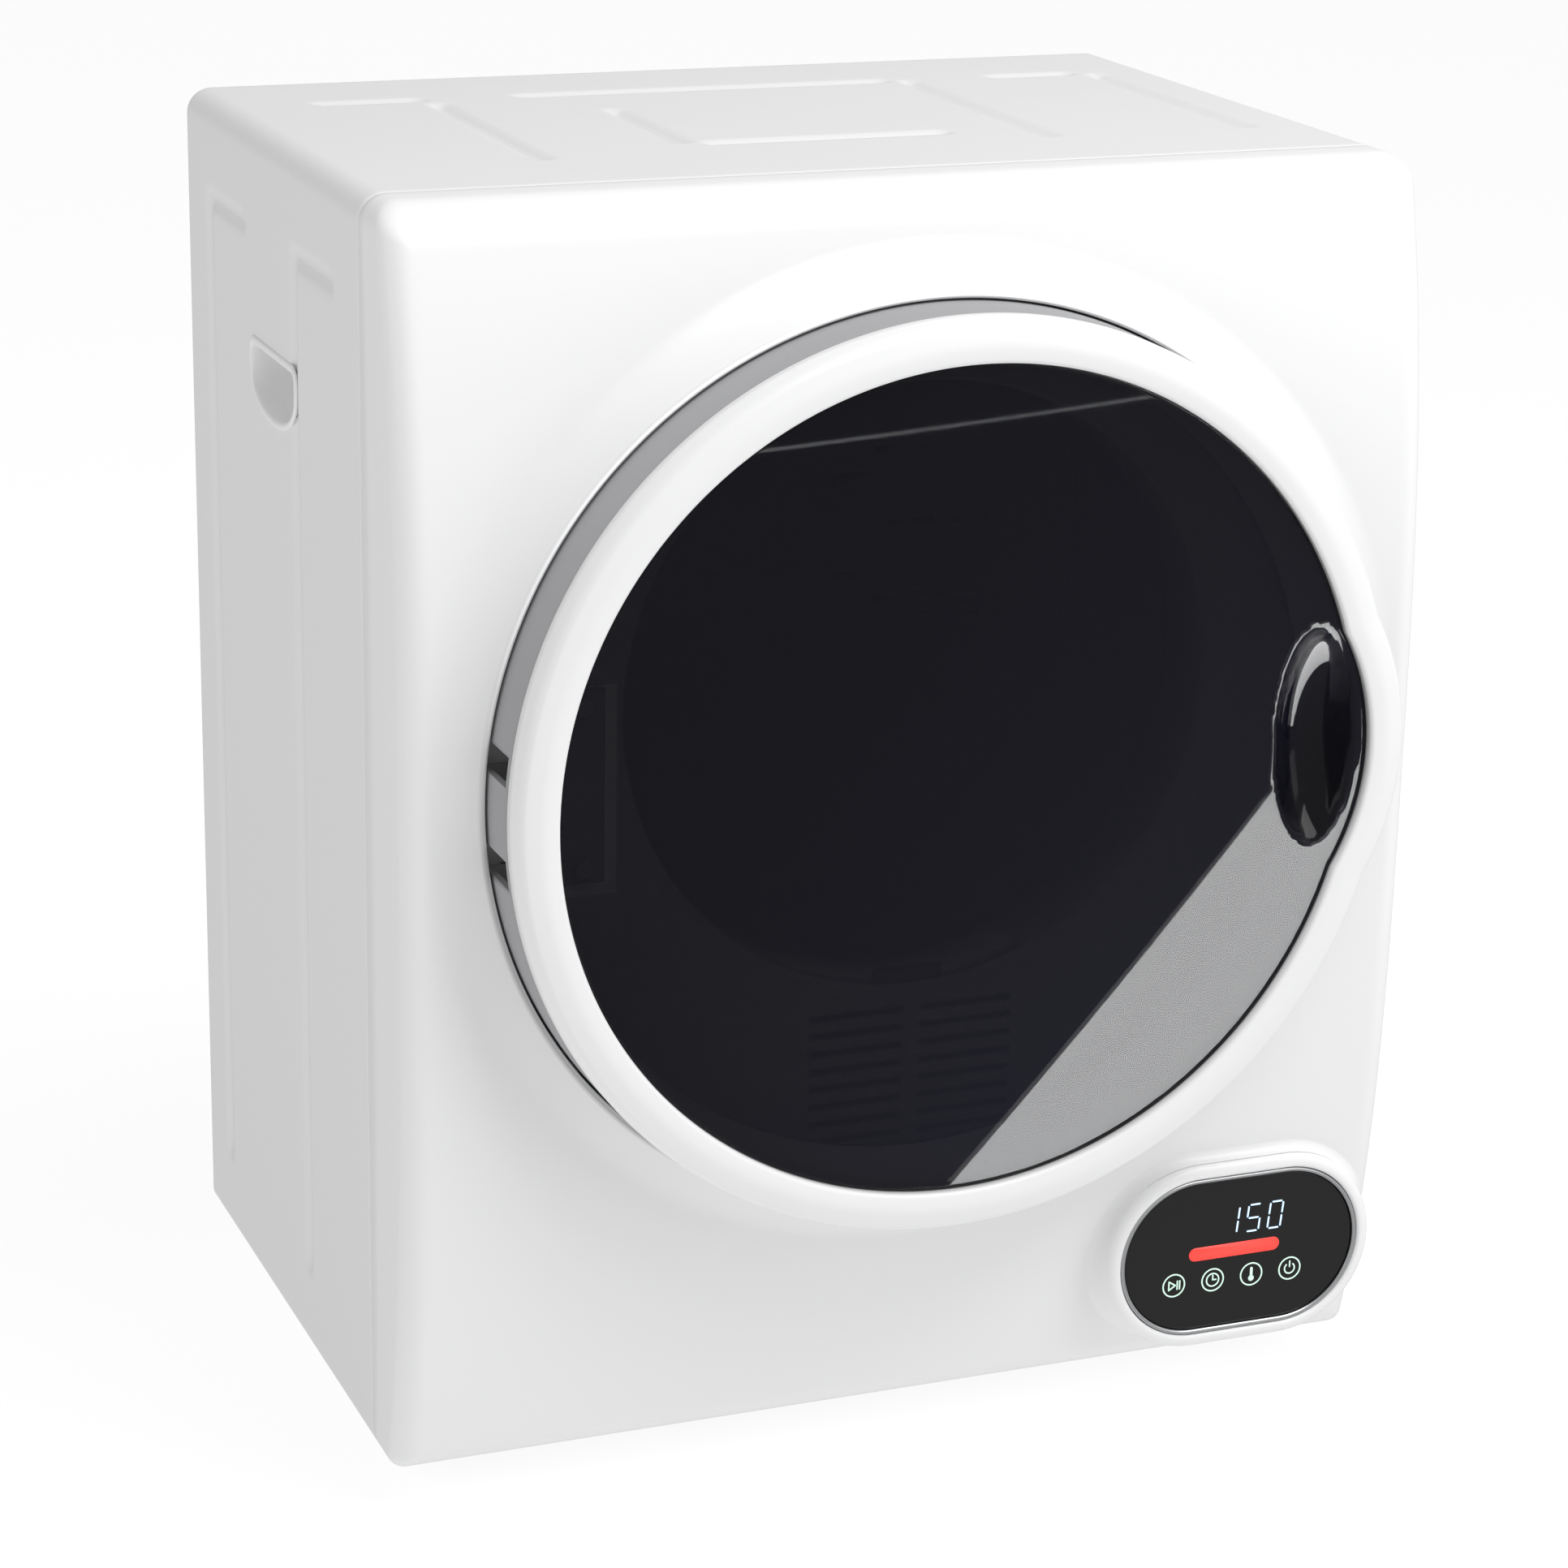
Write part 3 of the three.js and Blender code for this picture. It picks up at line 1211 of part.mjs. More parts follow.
function cordGland() {
  const { x, z, radius, bore, flange } = GLAND;
  return part('cord_gland', turned([
    [bore, 1], [flange - 3, 1], [flange, 3], [flange, BACK_INSET - CLEARANCE],
    [radius, BACK_INSET - CLEARANCE], [radius, 16], [bore, 16],
  ], x, z, NARROW_STEPS), blackPlastic);
}

// ---------------------------------------------------------------------------
// Control pod
// ---------------------------------------------------------------------------

function controlPod() {
  const seat = podLedge + CLEARANCE;
  const length = POD.length - 2 * CLEARANCE;
  const height = POD.height - 2 * CLEARANCE;
  const inner = 2 * TRIM_RING;
  const ring = prism(
    stadium(podX, POD.z, length, height), seat, POD.front - 0.8,
    stadium(podX, POD.z, length - inner, height - inner),
  );
  const shrink = inner + 2 * CLEARANCE;
  const glassEdge = stadium(podX, POD.z, length - shrink, height - shrink);
  const glass = prism(glassEdge, seat + 0.5, seat + 0.5 + POD_GLASS);
  const board = box([podX - 46, podX + 46], [podLedge - 10, podLedge - 8.4], [POD.z - 22, POD.z + 22]);
  return [
    part('control_trim_ring', ring, aluminium),
    part('control_glass', glass, blackGlass),
    part('control_board', board, greenBoard),
  ];
}

// ---------------------------------------------------------------------------
// Assembly
// ---------------------------------------------------------------------------

const cabinet = new THREE.Group();
cabinet.add(
  cabinetWrap(), backPanel(), basePan(), ...feet(), frontPanel(), doorSurround(), drumMouthSleeve(),
  handleCup('handle_cup_left', -1), handleCup('handle_cup_right', 1),
  drumFrontSeal(), rearBearingBracket(), rearBearing(),
  motorHousing(), motorBracket(), motorCapacitor(), driveBelt(),
  blowerHousing(), frontDuct(), exhaustDuct(), exhaustCollar(), ...heater(), cordGland(),
  latchReceiver(), ...doorSwitch(), ...lintFilter(), hingeBracket(), ...hingeScrews(), ...controlPod(),
);

const door = new THREE.Group();
door.add(
  doorFrontRing(), doorWindow(), doorBackShell(), doorInnerWindow(), doorGasket(),
  doorHingeBlock(), hingePin(), latchHook(),
);

const drum = new THREE.Group();
drum.add(drumShell(), drumFrontEnd(), drumBack(), ...drumBaffles(), drumShaft());

const drive = new THREE.Group();
drive.add(motorShaft(), drivePulley(), blowerWheel(), ...idler());

const dryer = new THREE.Group();
dryer.add(cabinet, door, drum, drive);

export default dryer;
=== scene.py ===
"""Skins, door, control face and finishes of a compact clothes dryer, laid out as a Blender add-on."""

import json
import math

import bmesh
import bpy
from bpy.props import FloatProperty, FloatVectorProperty, IntProperty, PointerProperty
from mathutils import Matrix, Vector


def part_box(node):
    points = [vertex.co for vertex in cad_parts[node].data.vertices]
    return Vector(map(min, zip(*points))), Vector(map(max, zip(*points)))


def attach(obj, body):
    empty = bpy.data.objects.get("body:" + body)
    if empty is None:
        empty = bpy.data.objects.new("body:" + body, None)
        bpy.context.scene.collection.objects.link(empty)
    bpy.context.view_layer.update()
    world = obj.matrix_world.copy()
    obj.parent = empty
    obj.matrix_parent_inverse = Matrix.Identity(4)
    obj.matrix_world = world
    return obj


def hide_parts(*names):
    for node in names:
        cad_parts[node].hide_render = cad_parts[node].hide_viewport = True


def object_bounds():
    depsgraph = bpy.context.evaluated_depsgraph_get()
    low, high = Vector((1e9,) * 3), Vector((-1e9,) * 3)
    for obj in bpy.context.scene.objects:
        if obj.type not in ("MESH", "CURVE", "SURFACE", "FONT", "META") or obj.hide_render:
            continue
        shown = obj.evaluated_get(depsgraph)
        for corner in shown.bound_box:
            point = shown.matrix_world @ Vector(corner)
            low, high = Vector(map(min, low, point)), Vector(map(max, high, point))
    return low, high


bl_info = {
    "name": "Clothes Dryer",
    "version": (1, 0, 0),
    "blender": (4, 5, 0),
    "location": "View3D > Sidebar > Dryer",
    "description": "Builds the skins, the door and the control face of a clothes dryer round its frame",
    "category": "Object",
}

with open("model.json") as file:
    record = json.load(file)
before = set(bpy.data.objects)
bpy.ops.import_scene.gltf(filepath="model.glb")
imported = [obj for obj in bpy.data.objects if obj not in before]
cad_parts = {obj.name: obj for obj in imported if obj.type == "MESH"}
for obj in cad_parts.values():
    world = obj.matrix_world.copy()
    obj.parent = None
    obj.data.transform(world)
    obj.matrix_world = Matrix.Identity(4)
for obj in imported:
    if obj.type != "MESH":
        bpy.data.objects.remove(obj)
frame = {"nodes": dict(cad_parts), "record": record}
CAD_LOW, CAD_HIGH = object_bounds()

# ---------------------------------------------------------------------------
# Places read from the frame. A depth is the distance from the back, in metres.
# ---------------------------------------------------------------------------

MM = 0.001
BACK = CAD_HIGH.y


def span(node):
    """Lowest and highest corner of a node, with Y turned into depth from the back."""
    low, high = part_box(node)
    return Vector((low.x, BACK - high.y, low.z)), Vector((high.x, BACK - low.y, high.z))


WRAP_LOW, WRAP_HIGH = span("cabinet_wrap")
PANEL_LOW, PANEL_HIGH = span("front_panel")
RING_LOW, RING_HIGH = span("door_front_ring")
SHELL_LOW, SHELL_HIGH = span("door_back_shell")
WINDOW_LOW, WINDOW_HIGH = span("door_window")
RECESS_LOW, RECESS_HIGH = span("door_surround")
SLEEVE_LOW, SLEEVE_HIGH = span("drum_mouth_sleeve")
GLASS_LOW, GLASS_HIGH = span("control_glass")
TRIM_LOW, TRIM_HIGH = span("control_trim_ring")
DRUM_LOW, DRUM_HIGH = span("drum_shell")
DRUM_END_LOW, DRUM_END_HIGH = span("drum_front_end")

HALF_WIDTH = WRAP_HIGH.x
MIDDLE = (WRAP_LOW.z + WRAP_HIGH.z) / 2
HALF_HEIGHT = (WRAP_HIGH.z - WRAP_LOW.z) / 2
DOOR_Z = (SHELL_LOW.z + SHELL_HIGH.z) / 2
DOOR_RADIUS = (SHELL_HIGH.z - SHELL_LOW.z) / 2
HOLE_RADIUS = DOOR_RADIUS + 1 * MM
WINDOW_RADIUS = (WINDOW_HIGH.z - WINDOW_LOW.z) / 2
DRUM_Z = (DRUM_LOW.z + DRUM_HIGH.z) / 2
DRUM_RADIUS = (DRUM_HIGH.z - DRUM_LOW.z) / 2
POD_X = (GLASS_LOW.x + GLASS_HIGH.x) / 2
POD_Z = (GLASS_LOW.z + GLASS_HIGH.z) / 2


def at(x, depth, z):
    """The point at a width, a depth from the back and a height."""
    return Vector((x, BACK - depth, z))


# ---------------------------------------------------------------------------
# Sizes and colours that a user may change
# ---------------------------------------------------------------------------


def length(name, description, default):
    """A length property, in metres."""
    return FloatProperty(
        name=name, description=description, default=default, subtype="DISTANCE", unit="LENGTH",
    )


def power(name, description, default):
    """The power of a light."""
    return FloatProperty(name=name, description=description, default=default, unit="POWER")


def colour(name, description, default):
    """A linear colour property."""
    return FloatVectorProperty(name=name, description=description, default=default, subtype="COLOR", size=3)


class DryerCabinetSettings(bpy.types.PropertyGroup):
    groove_width: length("Groove width", "Width of a pressed groove", 0.012)
    groove_depth: length("Groove depth", "Depth of a pressed groove", 0.0026)
    top_corner: length("Top corner", "Corner radius of the cabinet's top", 0.012)
    bottom_corner: length("Bottom corner", "Corner radius of the cabinet's foot", 0.008)
    bulge: length("Bulge", "How far the front swells between its ends and its middle", 0.028)
    collar_width: length("Collar width", "Width of the slope round the door", 0.0195)
    edge_round: length("Edge round", "Radius along the front's side edges", 0.012)
    top_round: length("Top round", "Radius along the front's top edge", 0.018)
    pod_rim: length("Pod rim", "White rim round the control glass", 0.007)
    pod_flare: length("Pod flare", "Fillet at the foot of the control pod", 0.006)
    enamel: colour("Enamel", "Colour of the painted steel", (0.80, 0.80, 0.805))
    moulding: colour("Moulding", "Colour of the white plastic", (0.86, 0.86, 0.865))


class DryerDoorSettings(bpy.types.PropertyGroup):
    dome: length("Dome", "How far the window swells forward", 0.0035)
    lobe_reach: length("Grip lobe", "How far the ring stands out at the grip", 0.007)
    lobe_half: length("Grip lobe height", "Half the height of the grip lobe", 0.062)
    scoop_depth: length("Scoop depth", "Depth of the finger scoop", 0.022)
    smoke: colour("Smoke", "Colour of the smoked window", (0.002, 0.002, 0.004))
    smoke_cover: FloatProperty(
        name="Smoke cover", description="How much of what is behind the window it hides",
        default=0.64, min=0, max=1, subtype="FACTOR",
    )


class DryerControlSettings(bpy.types.PropertyGroup):
    digit_height: length("Digit height", "Height of the display's digits", 0.0135)
    icon_radius: length("Icon radius", "Radius of a touch symbol's circle", 0.006)
    line_width: length("Line width", "Width of the symbols' lines", 0.0007)
    digit_colour: colour("Digits", "Colour of the lit digits", (0.55, 0.75, 1.0))
    bar_colour: colour("Bar", "Colour of the lit bar", (0.95, 0.06, 0.045))
    icon_colour: colour("Symbols", "Colour of the touch symbols", (0.62, 0.85, 0.72))
    minutes: IntProperty(
        name="Minutes", description="The number on the display", default=150, min=0, max=999,
    )


class DryerStageSettings(bpy.types.PropertyGroup):
    key_power: power("Key light", "Power of the front light", 9)
    top_power: power("Top light", "Power of the top light", 60)
    fill_power: power("Fill light", "Power of the side light", 5)
    panel_glow: FloatProperty(
        name="Panel glow", description="Power of the panel the window mirrors", default=27,
    )
    strip_glow: FloatProperty(
        name="Strip glow", description="Power of the strip the window mirrors", default=0.07,
    )
    sky: FloatProperty(name="Sky", description="Strength of the even light all round", default=0.45)
    focal: FloatProperty(name="Focal length", description="Camera lens in millimetres", default=97.5)


def settings(name):
    """One of this scene's property groups."""
    return getattr(bpy.context.scene, "dryer_" + name)


# ---------------------------------------------------------------------------
# Shader building blocks
# ---------------------------------------------------------------------------


def node_group(name, inputs, outputs, fill):
    """A shader node group, built once, with named float or colour sockets."""
    group = bpy.data.node_groups.get(name)
    if group:
        return group
    group = bpy.data.node_groups.new(name, "ShaderNodeTree")
    for label, kind, default in inputs:
        socket = group.interface.new_socket(label, in_out="INPUT", socket_type=kind)
        socket.default_value = default
    for label, kind in outputs:
        group.interface.new_socket(label, in_out="OUTPUT", socket_type=kind)
    start = group.nodes.new("NodeGroupInput")
    end = group.nodes.new("NodeGroupOutput")
    fill(group, start, end)
    return group


def noise(tree, scale, detail, vector, stretch=None):
    """A noise texture in object space, stretched along the axes if asked; scale may be a socket."""
    texture = tree.nodes.new("ShaderNodeTexNoise")
    texture.inputs["Detail"].default_value = detail
    if isinstance(scale, bpy.types.NodeSocket):
        tree.links.new(scale, texture.inputs["Scale"])
    else:
        texture.inputs["Scale"].default_value = scale
    if stretch:
        mapping = tree.nodes.new("ShaderNodeMapping")
        mapping.inputs["Scale"].default_value = stretch
        tree.links.new(vector, mapping.inputs["Vector"])
        vector = mapping.outputs["Vector"]
    tree.links.new(vector, texture.inputs["Vector"])
    return texture.outputs["Fac"]


def spread(tree, factor, low, high):
    """Maps a 0 to 1 factor onto a range; the limits may be sockets or numbers."""
    mapper = tree.nodes.new("ShaderNodeMapRange")
    tree.links.new(factor, mapper.inputs["Value"])
    for label, value in (("To Min", low), ("To Max", high)):
        if isinstance(value, bpy.types.NodeSocket):
            tree.links.new(value, mapper.inputs[label])
        else:
            mapper.inputs[label].default_value = value
    return mapper.outputs["Result"]


def fill_grain(tree, start, end):
    """Fine moulded or sprayed texture, with slow changes in roughness and tint."""
    place = tree.nodes.new("ShaderNodeTexCoord").outputs["Object"]
    fine = noise(tree, start.outputs["Scale"], 2, place)
    slow = noise(tree, 9, 3, place)
    tree.links.new(fine, end.inputs["Height"])
    rough = spread(tree, slow, start.outputs["Smoothest"], start.outputs["Roughest"])
    tree.links.new(rough, end.inputs["Roughness"])
    shade = tree.nodes.new("ShaderNodeMix")
    shade.data_type = "RGBA"
    tree.links.new(spread(tree, slow, 0.0, start.outputs["Mottle"]), shade.inputs["Factor"])
    tree.links.new(start.outputs["Color"], shade.inputs["A"])
    tree.links.new(start.outputs["Second Color"], shade.inputs["B"])
    tree.links.new(shade.outputs["Result"], end.inputs["Color"])


def fill_dust(tree, start, end):
    """A trace of dust on what faces up."""
    facing = tree.nodes.new("ShaderNodeSeparateXYZ")
    tree.links.new(tree.nodes.new("ShaderNodeNewGeometry").outputs["Normal"], facing.inputs["Vector"])
    place = tree.nodes.new("ShaderNodeTexCoord").outputs["Object"]
    patches = noise(tree, 34, 4, place)
    product = tree.nodes.new("ShaderNodeMath")
    product.operation = "MULTIPLY"
    product.use_clamp = True
    tree.links.new(facing.outputs["Z"], product.inputs[0])
    tree.links.new(patches, product.inputs[1])
    amount = tree.nodes.new("ShaderNodeMath")
    amount.operation = "MULTIPLY"
    tree.links.new(product.outputs["Value"], amount.inputs[0])
    tree.links.new(start.outputs["Amount"], amount.inputs[1])
    shade = tree.nodes.new("ShaderNodeMix")
    shade.data_type = "RGBA"
    tree.links.new(amount.outputs["Value"], shade.inputs["Factor"])
    tree.links.new(start.outputs["Color"], shade.inputs["A"])
    shade.inputs["B"].default_value = (0.52, 0.50, 0.47, 1)
    tree.links.new(shade.outputs["Result"], end.inputs["Color"])


def fill_brushed(tree, start, end):
    """Fine lines of a brushed or rolled metal, along Y."""
    place = tree.nodes.new("ShaderNodeTexCoord").outputs["Object"]
    lines = noise(tree, start.outputs["Scale"], 3, place, (1.0, 0.02, 1.0))
    tree.links.new(lines, end.inputs["Height"])
    rough = spread(tree, lines, start.outputs["Smoothest"], start.outputs["Roughest"])
    tree.links.new(rough, end.inputs["Roughness"])


def fill_spangle(tree, start, end):
    """The crystal flakes of a zinc coat."""
    place = tree.nodes.new("ShaderNodeTexCoord").outputs["Object"]
    cells = tree.nodes.new("ShaderNodeTexVoronoi")
    tree.links.new(start.outputs["Scale"], cells.inputs["Scale"])
    tree.links.new(place, cells.inputs["Vector"])
    grey = tree.nodes.new("ShaderNodeRGBToBW")
    tree.links.new(cells.outputs["Color"], grey.inputs["Color"])
    shade = tree.nodes.new("ShaderNodeMix")
    shade.data_type = "RGBA"
    tree.links.new(grey.outputs["Val"], shade.inputs["Factor"])
    tree.links.new(start.outputs["Color"], shade.inputs["A"])
    tree.links.new(start.outputs["Second Color"], shade.inputs["B"])
    tree.links.new(shade.outputs["Result"], end.inputs["Color"])
    tree.links.new(spread(tree, grey.outputs["Val"], 0.34, 0.52), end.inputs["Roughness"])


def grain_group():
    return node_group("Moulded Grain", [
        ("Scale", "NodeSocketFloat", 900.0), ("Smoothest", "NodeSocketFloat", 0.3),
        ("Roughest", "NodeSocketFloat", 0.4), ("Mottle", "NodeSocketFloat", 0.5),
        ("Color", "NodeSocketColor", (0.8, 0.8, 0.8, 1)),
        ("Second Color", "NodeSocketColor", (0.7, 0.7, 0.7, 1)),
    ], [
        ("Color", "NodeSocketColor"), ("Roughness", "NodeSocketFloat"), ("Height", "NodeSocketFloat"),
    ], fill_grain)


def dust_group():
    return node_group("Settled Dust", [
        ("Color", "NodeSocketColor", (0.8, 0.8, 0.8, 1)), ("Amount", "NodeSocketFloat", 0.1),
    ], [("Color", "NodeSocketColor")], fill_dust)


def brushed_group():
    return node_group("Brushed Lines", [
        ("Scale", "NodeSocketFloat", 1400.0), ("Smoothest", "NodeSocketFloat", 0.25),
        ("Roughest", "NodeSocketFloat", 0.4),
    ], [("Roughness", "NodeSocketFloat"), ("Height", "NodeSocketFloat")], fill_brushed)


def spangle_group():
    return node_group("Zinc Spangle", [
        ("Scale", "NodeSocketFloat", 90.0), ("Color", "NodeSocketColor", (0.5, 0.51, 0.53, 1)),
        ("Second Color", "NodeSocketColor", (0.62, 0.63, 0.65, 1)),
    ], [("Color", "NodeSocketColor"), ("Roughness", "NodeSocketFloat")], fill_spangle)


def blank_material(name):
    """A new material and its Principled shader."""
    material = bpy.data.materials.new(name)
    material.use_nodes = True
    return material, material.node_tree, material.node_tree.nodes["Principled BSDF"]


def place_group(tree, group, **values):
    """An instance of a group, its sockets set by name (with _ for a space)."""
    instance = tree.nodes.new("ShaderNodeGroup")
    instance.node_tree = group
    for label, value in values.items():
        instance.inputs[label.replace("_", " ")].default_value = value
    return instance


def bump(tree, shader, height, strength, distance):
    """Feeds a height into the shader's normal."""
    raised = tree.nodes.new("ShaderNodeBump")
    raised.inputs["Strength"].default_value = strength
    raised.inputs["Distance"].default_value = distance
    tree.links.new(height, raised.inputs["Height"])
    tree.links.new(raised.outputs["Normal"], shader.inputs["Normal"])


def rgba(values, gain=1.0):
    """A colour with alpha, darkened or lightened by a gain."""
    return (*[min(value * gain, 1.0) for value in values], 1.0)


def moulded(name, base, second_gain, roughness, grain, relief, mottle=0.5, dust=0.0):
    """Moulded plastic, paint, rubber or felt: grain, a slow change of gloss and tint, and a little dust."""
    material, tree, shader = blank_material(name)
    texture = place_group(
        tree, grain_group(), Scale=grain, Smoothest=roughness[0], Roughest=roughness[1], Mottle=mottle,
        Color=rgba(base), Second_Color=rgba(base, second_gain),
    )
    tree.links.new(texture.outputs["Roughness"], shader.inputs["Roughness"])
    shade = texture.outputs["Color"]
    if dust:
        settled = place_group(tree, dust_group(), Amount=dust)
        tree.links.new(shade, settled.inputs["Color"])
        shade = settled.outputs["Color"]
    tree.links.new(shade, shader.inputs["Base Color"])
    bump(tree, shader, texture.outputs["Height"], 0.25, relief)
    return material


def brushed_metal(name, base, roughness, scale=1400.0):
    """Brushed or rolled metal."""
    material, tree, shader = blank_material(name)
    shader.inputs["Metallic"].default_value = 1.0
    lines = place_group(tree, brushed_group(), Scale=scale, Smoothest=roughness[0], Roughest=roughness[1])
    texture = place_group(
        tree, grain_group(), Scale=300.0, Mottle=0.6, Color=rgba(base), Second_Color=rgba(base, 0.86),
    )
    tree.links.new(texture.outputs["Color"], shader.inputs["Base Color"])
    tree.links.new(lines.outputs["Roughness"], shader.inputs["Roughness"])
    bump(tree, shader, lines.outputs["Height"], 0.2, 0.00005)
    return material


def white_enamel():
    return moulded(
        "white_enamel", settings("cabinet").enamel, 0.985, (0.36, 0.42), 420.0, 0.00004,
        mottle=0.7, dust=0.05,
    )


def white_moulding():
    return moulded("white_moulding", settings("cabinet").moulding, 0.985, (0.30, 0.36), 1500.0, 0.00002)


def shaded_moulding():
    """Painted shade: the door's white plastic side wall given a matt grey for the shade in the gap behind
    the front ring.
    """
    return moulded("shaded_moulding", (0.36, 0.36, 0.37), 0.9, (0.5, 0.6), 1400.0, 0.00004)


def grey_moulding():
    return moulded("grey_moulding", (0.27, 0.28, 0.29), 0.85, (0.5, 0.6), 1200.0, 0.00006)


def black_moulding():
    return moulded("black_moulding", (0.018, 0.018, 0.020), 1.5, (0.45, 0.6), 1200.0, 0.00006)


def black_rubber():
    return moulded("black_rubber", (0.022, 0.022, 0.022), 1.7, (0.75, 0.9), 800.0, 0.0001, mottle=0.8)


def grey_felt():
    material = moulded("grey_felt", (0.20, 0.18, 0.16), 0.6, (0.9, 1.0), 2200.0, 0.0004, mottle=0.9)
    material.node_tree.nodes["Principled BSDF"].inputs["Sheen Weight"].default_value = 0.4
    return material


def copper_brown():
    return moulded("phenolic_brown", (0.28, 0.12, 0.05), 0.7, (0.4, 0.55), 700.0, 0.00005)


def sintered_bronze():
    material = moulded("sintered_bronze", (0.35, 0.24, 0.10), 0.7, (0.4, 0.55), 2600.0, 0.00008)
    material.node_tree.nodes["Principled BSDF"].inputs["Metallic"].default_value = 1.0
    return material


def zinc_sheet():
    """Galvanised sheet with its spangle."""
    material, tree, shader = blank_material("zinc_sheet")
    shader.inputs["Metallic"].default_value = 1.0
    flakes = place_group(tree, spangle_group(), Scale=110.0)
    tree.links.new(flakes.outputs["Color"], shader.inputs["Base Color"])
    tree.links.new(flakes.outputs["Roughness"], shader.inputs["Roughness"])
    return material


def drum_steel():
    return brushed_metal("drum_steel", (0.55, 0.56, 0.57), (0.24, 0.38), 700.0)


def satin_aluminium():
    return brushed_metal("satin_aluminium", (0.66, 0.67, 0.68), (0.25, 0.36))


def green_board():
    """Circuit board with fine tracks."""
    material, tree, shader = blank_material("circuit_board")
    tracks = tree.nodes.new("ShaderNodeTexBrick")
    tracks.inputs["Scale"].default_value = 260.0
    tracks.inputs["Color1"].default_value = (0.015, 0.10, 0.04, 1)
    tracks.inputs["Color2"].default_value = (0.02, 0.14, 0.055, 1)
    tracks.inputs["Mortar"].default_value = (0.05, 0.24, 0.10, 1)
    place = tree.nodes.new("ShaderNodeTexCoord")
    turn = tree.nodes.new("ShaderNodeMapping")
    turn.inputs["Rotation"].default_value = (math.radians(90), 0, 0)
    tree.links.new(place.outputs["Object"], turn.inputs["Vector"])
    tree.links.new(turn.outputs["Vector"], tracks.inputs["Vector"])
    tree.links.new(tracks.outputs["Color"], shader.inputs["Base Color"])
    shader.inputs["Roughness"].default_value = 0.4
    return material


def see_through(name, base, cover, roughness):
    """Clear or smoked plastic: a glossy skin over a cover that hides part of what is behind."""
    material, tree, shader = blank_material(name)
    texture = place_group(
        tree, grain_group(), Scale=60.0, Smoothest=roughness[0], Roughest=roughness[1], Mottle=0.4,
        Color=rgba(base), Second_Color=rgba(base, 1.25),
    )
    tree.links.new(texture.outputs["Color"], shader.inputs["Base Color"])
    tree.links.new(texture.outputs["Roughness"], shader.inputs["Roughness"])
    shader.inputs["Alpha"].default_value = cover
    return material


def smoked_plastic():
    """The window's smoked plastic; both its faces darken what is behind it."""
    door = settings("door")
    material = see_through("smoked_plastic", door.smoke, door.smoke_cover, (0.012, 0.02))
    material.node_tree.nodes["Principled BSDF"].inputs["Specular IOR Level"].default_value = 0.25
    return material


def clear_plastic():
    """The inner window's thin clear plastic; its dark tint and cover are painted shade that dims the drum
    seen through it.
    """
    return see_through("clear_plastic", (0.02, 0.02, 0.025), 0.25, (0.05, 0.08))


def black_glass():
    """The touch glass: deep black under a hard gloss."""
    material = moulded("black_glass", (0.005, 0.005, 0.005), 1.3, (0.10, 0.14), 60.0, 0.0, mottle=0.5)
    material.node_tree.nodes["Principled BSDF"].inputs["Coat Weight"].default_value = 0.1
    return material


def lit(name, shade, strength):
    """A lit or printed mark on the display, slightly uneven like light through a diffuser."""
    material, tree, shader = blank_material(name)
    texture = place_group(
        tree, grain_group(), Scale=500.0, Smoothest=0.35, Roughest=0.45, Mottle=0.35,
        Color=rgba(shade), Second_Color=rgba(shade, 0.8),
    )
    tree.links.new(texture.outputs["Color"], shader.inputs["Base Color"])
    tree.links.new(texture.outputs["Roughness"], shader.inputs["Roughness"])
    tree.links.new(texture.outputs["Color"], shader.inputs["Emission Color"])
    shader.inputs["Emission Strength"].default_value = strength
    return material


FINISHES = {
    "white_steel": white_enamel, "white_plastic": white_moulding, "grey_plastic": grey_moulding,
    "black_plastic": black_moulding, "smoked_plastic": smoked_plastic, "clear_plastic": clear_plastic,
    "black_glass": black_glass, "steel": drum_steel, "zinc_steel": zinc_sheet, "aluminium": satin_aluminium,
    "black_rubber": black_rubber, "grey_felt": grey_felt, "copper_brown": copper_brown,
    "green_board": green_board, "bronze": sintered_bronze,
}


MADE_FINISHES = {}


def finish(slot):
    """The material of a slot of the record, made the first time it is asked for."""
    made = MADE_FINISHES.get(slot)
    if made is None:
        made = FINISHES[slot]()
        MADE_FINISHES[slot] = made
    return made

# ---------------------------------------------------------------------------
# Mesh building blocks
# ---------------------------------------------------------------------------


def loft(rings, ring_closed=True, ends_joined=False, cap_first=False, cap_last=False):
    """A skin through rings that hold the same number of points."""
    mesh = bmesh.new()
    rows = [[mesh.verts.new(point) for point in ring] for ring in rings]
    pairs = list(zip(rows, rows[1:]))
    if ends_joined:
        pairs.append((rows[-1], rows[0]))
    for near, far in pairs:
        count = len(near)
        for i in range(count if ring_closed else count - 1):
            j = (i + 1) % count
            mesh.faces.new((near[i], near[j], far[j], far[i]))
    if cap_first:
        mesh.faces.new(rows[0][::-1])
    if cap_last:
        mesh.faces.new(rows[-1])
    return mesh


def piece(name, mesh, slot, body, nodes=(), material=None):
    """Turns a mesh in the making into a smooth-shaded piece that rides on a body."""
    bmesh.ops.recalc_face_normals(mesh, faces=mesh.faces)
    data = bpy.data.meshes.new(name)
    mesh.to_mesh(data)
    mesh.free()
    data.polygons.foreach_set("use_smooth", [True] * len(data.polygons))
    data.materials.append(material or finish(slot))
    made = bpy.data.objects.new(name, data)
    bpy.context.scene.collection.objects.link(made)
    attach(made, body)
    if nodes:
        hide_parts(*nodes)
    return made


def thicken(made, thickness):
    """Gives a skin a wall on its inner side."""
    wall = made.modifiers.new("Wall", "SOLIDIFY")
    wall.thickness = thickness
    wall.offset = -1
    wall.use_rim = True


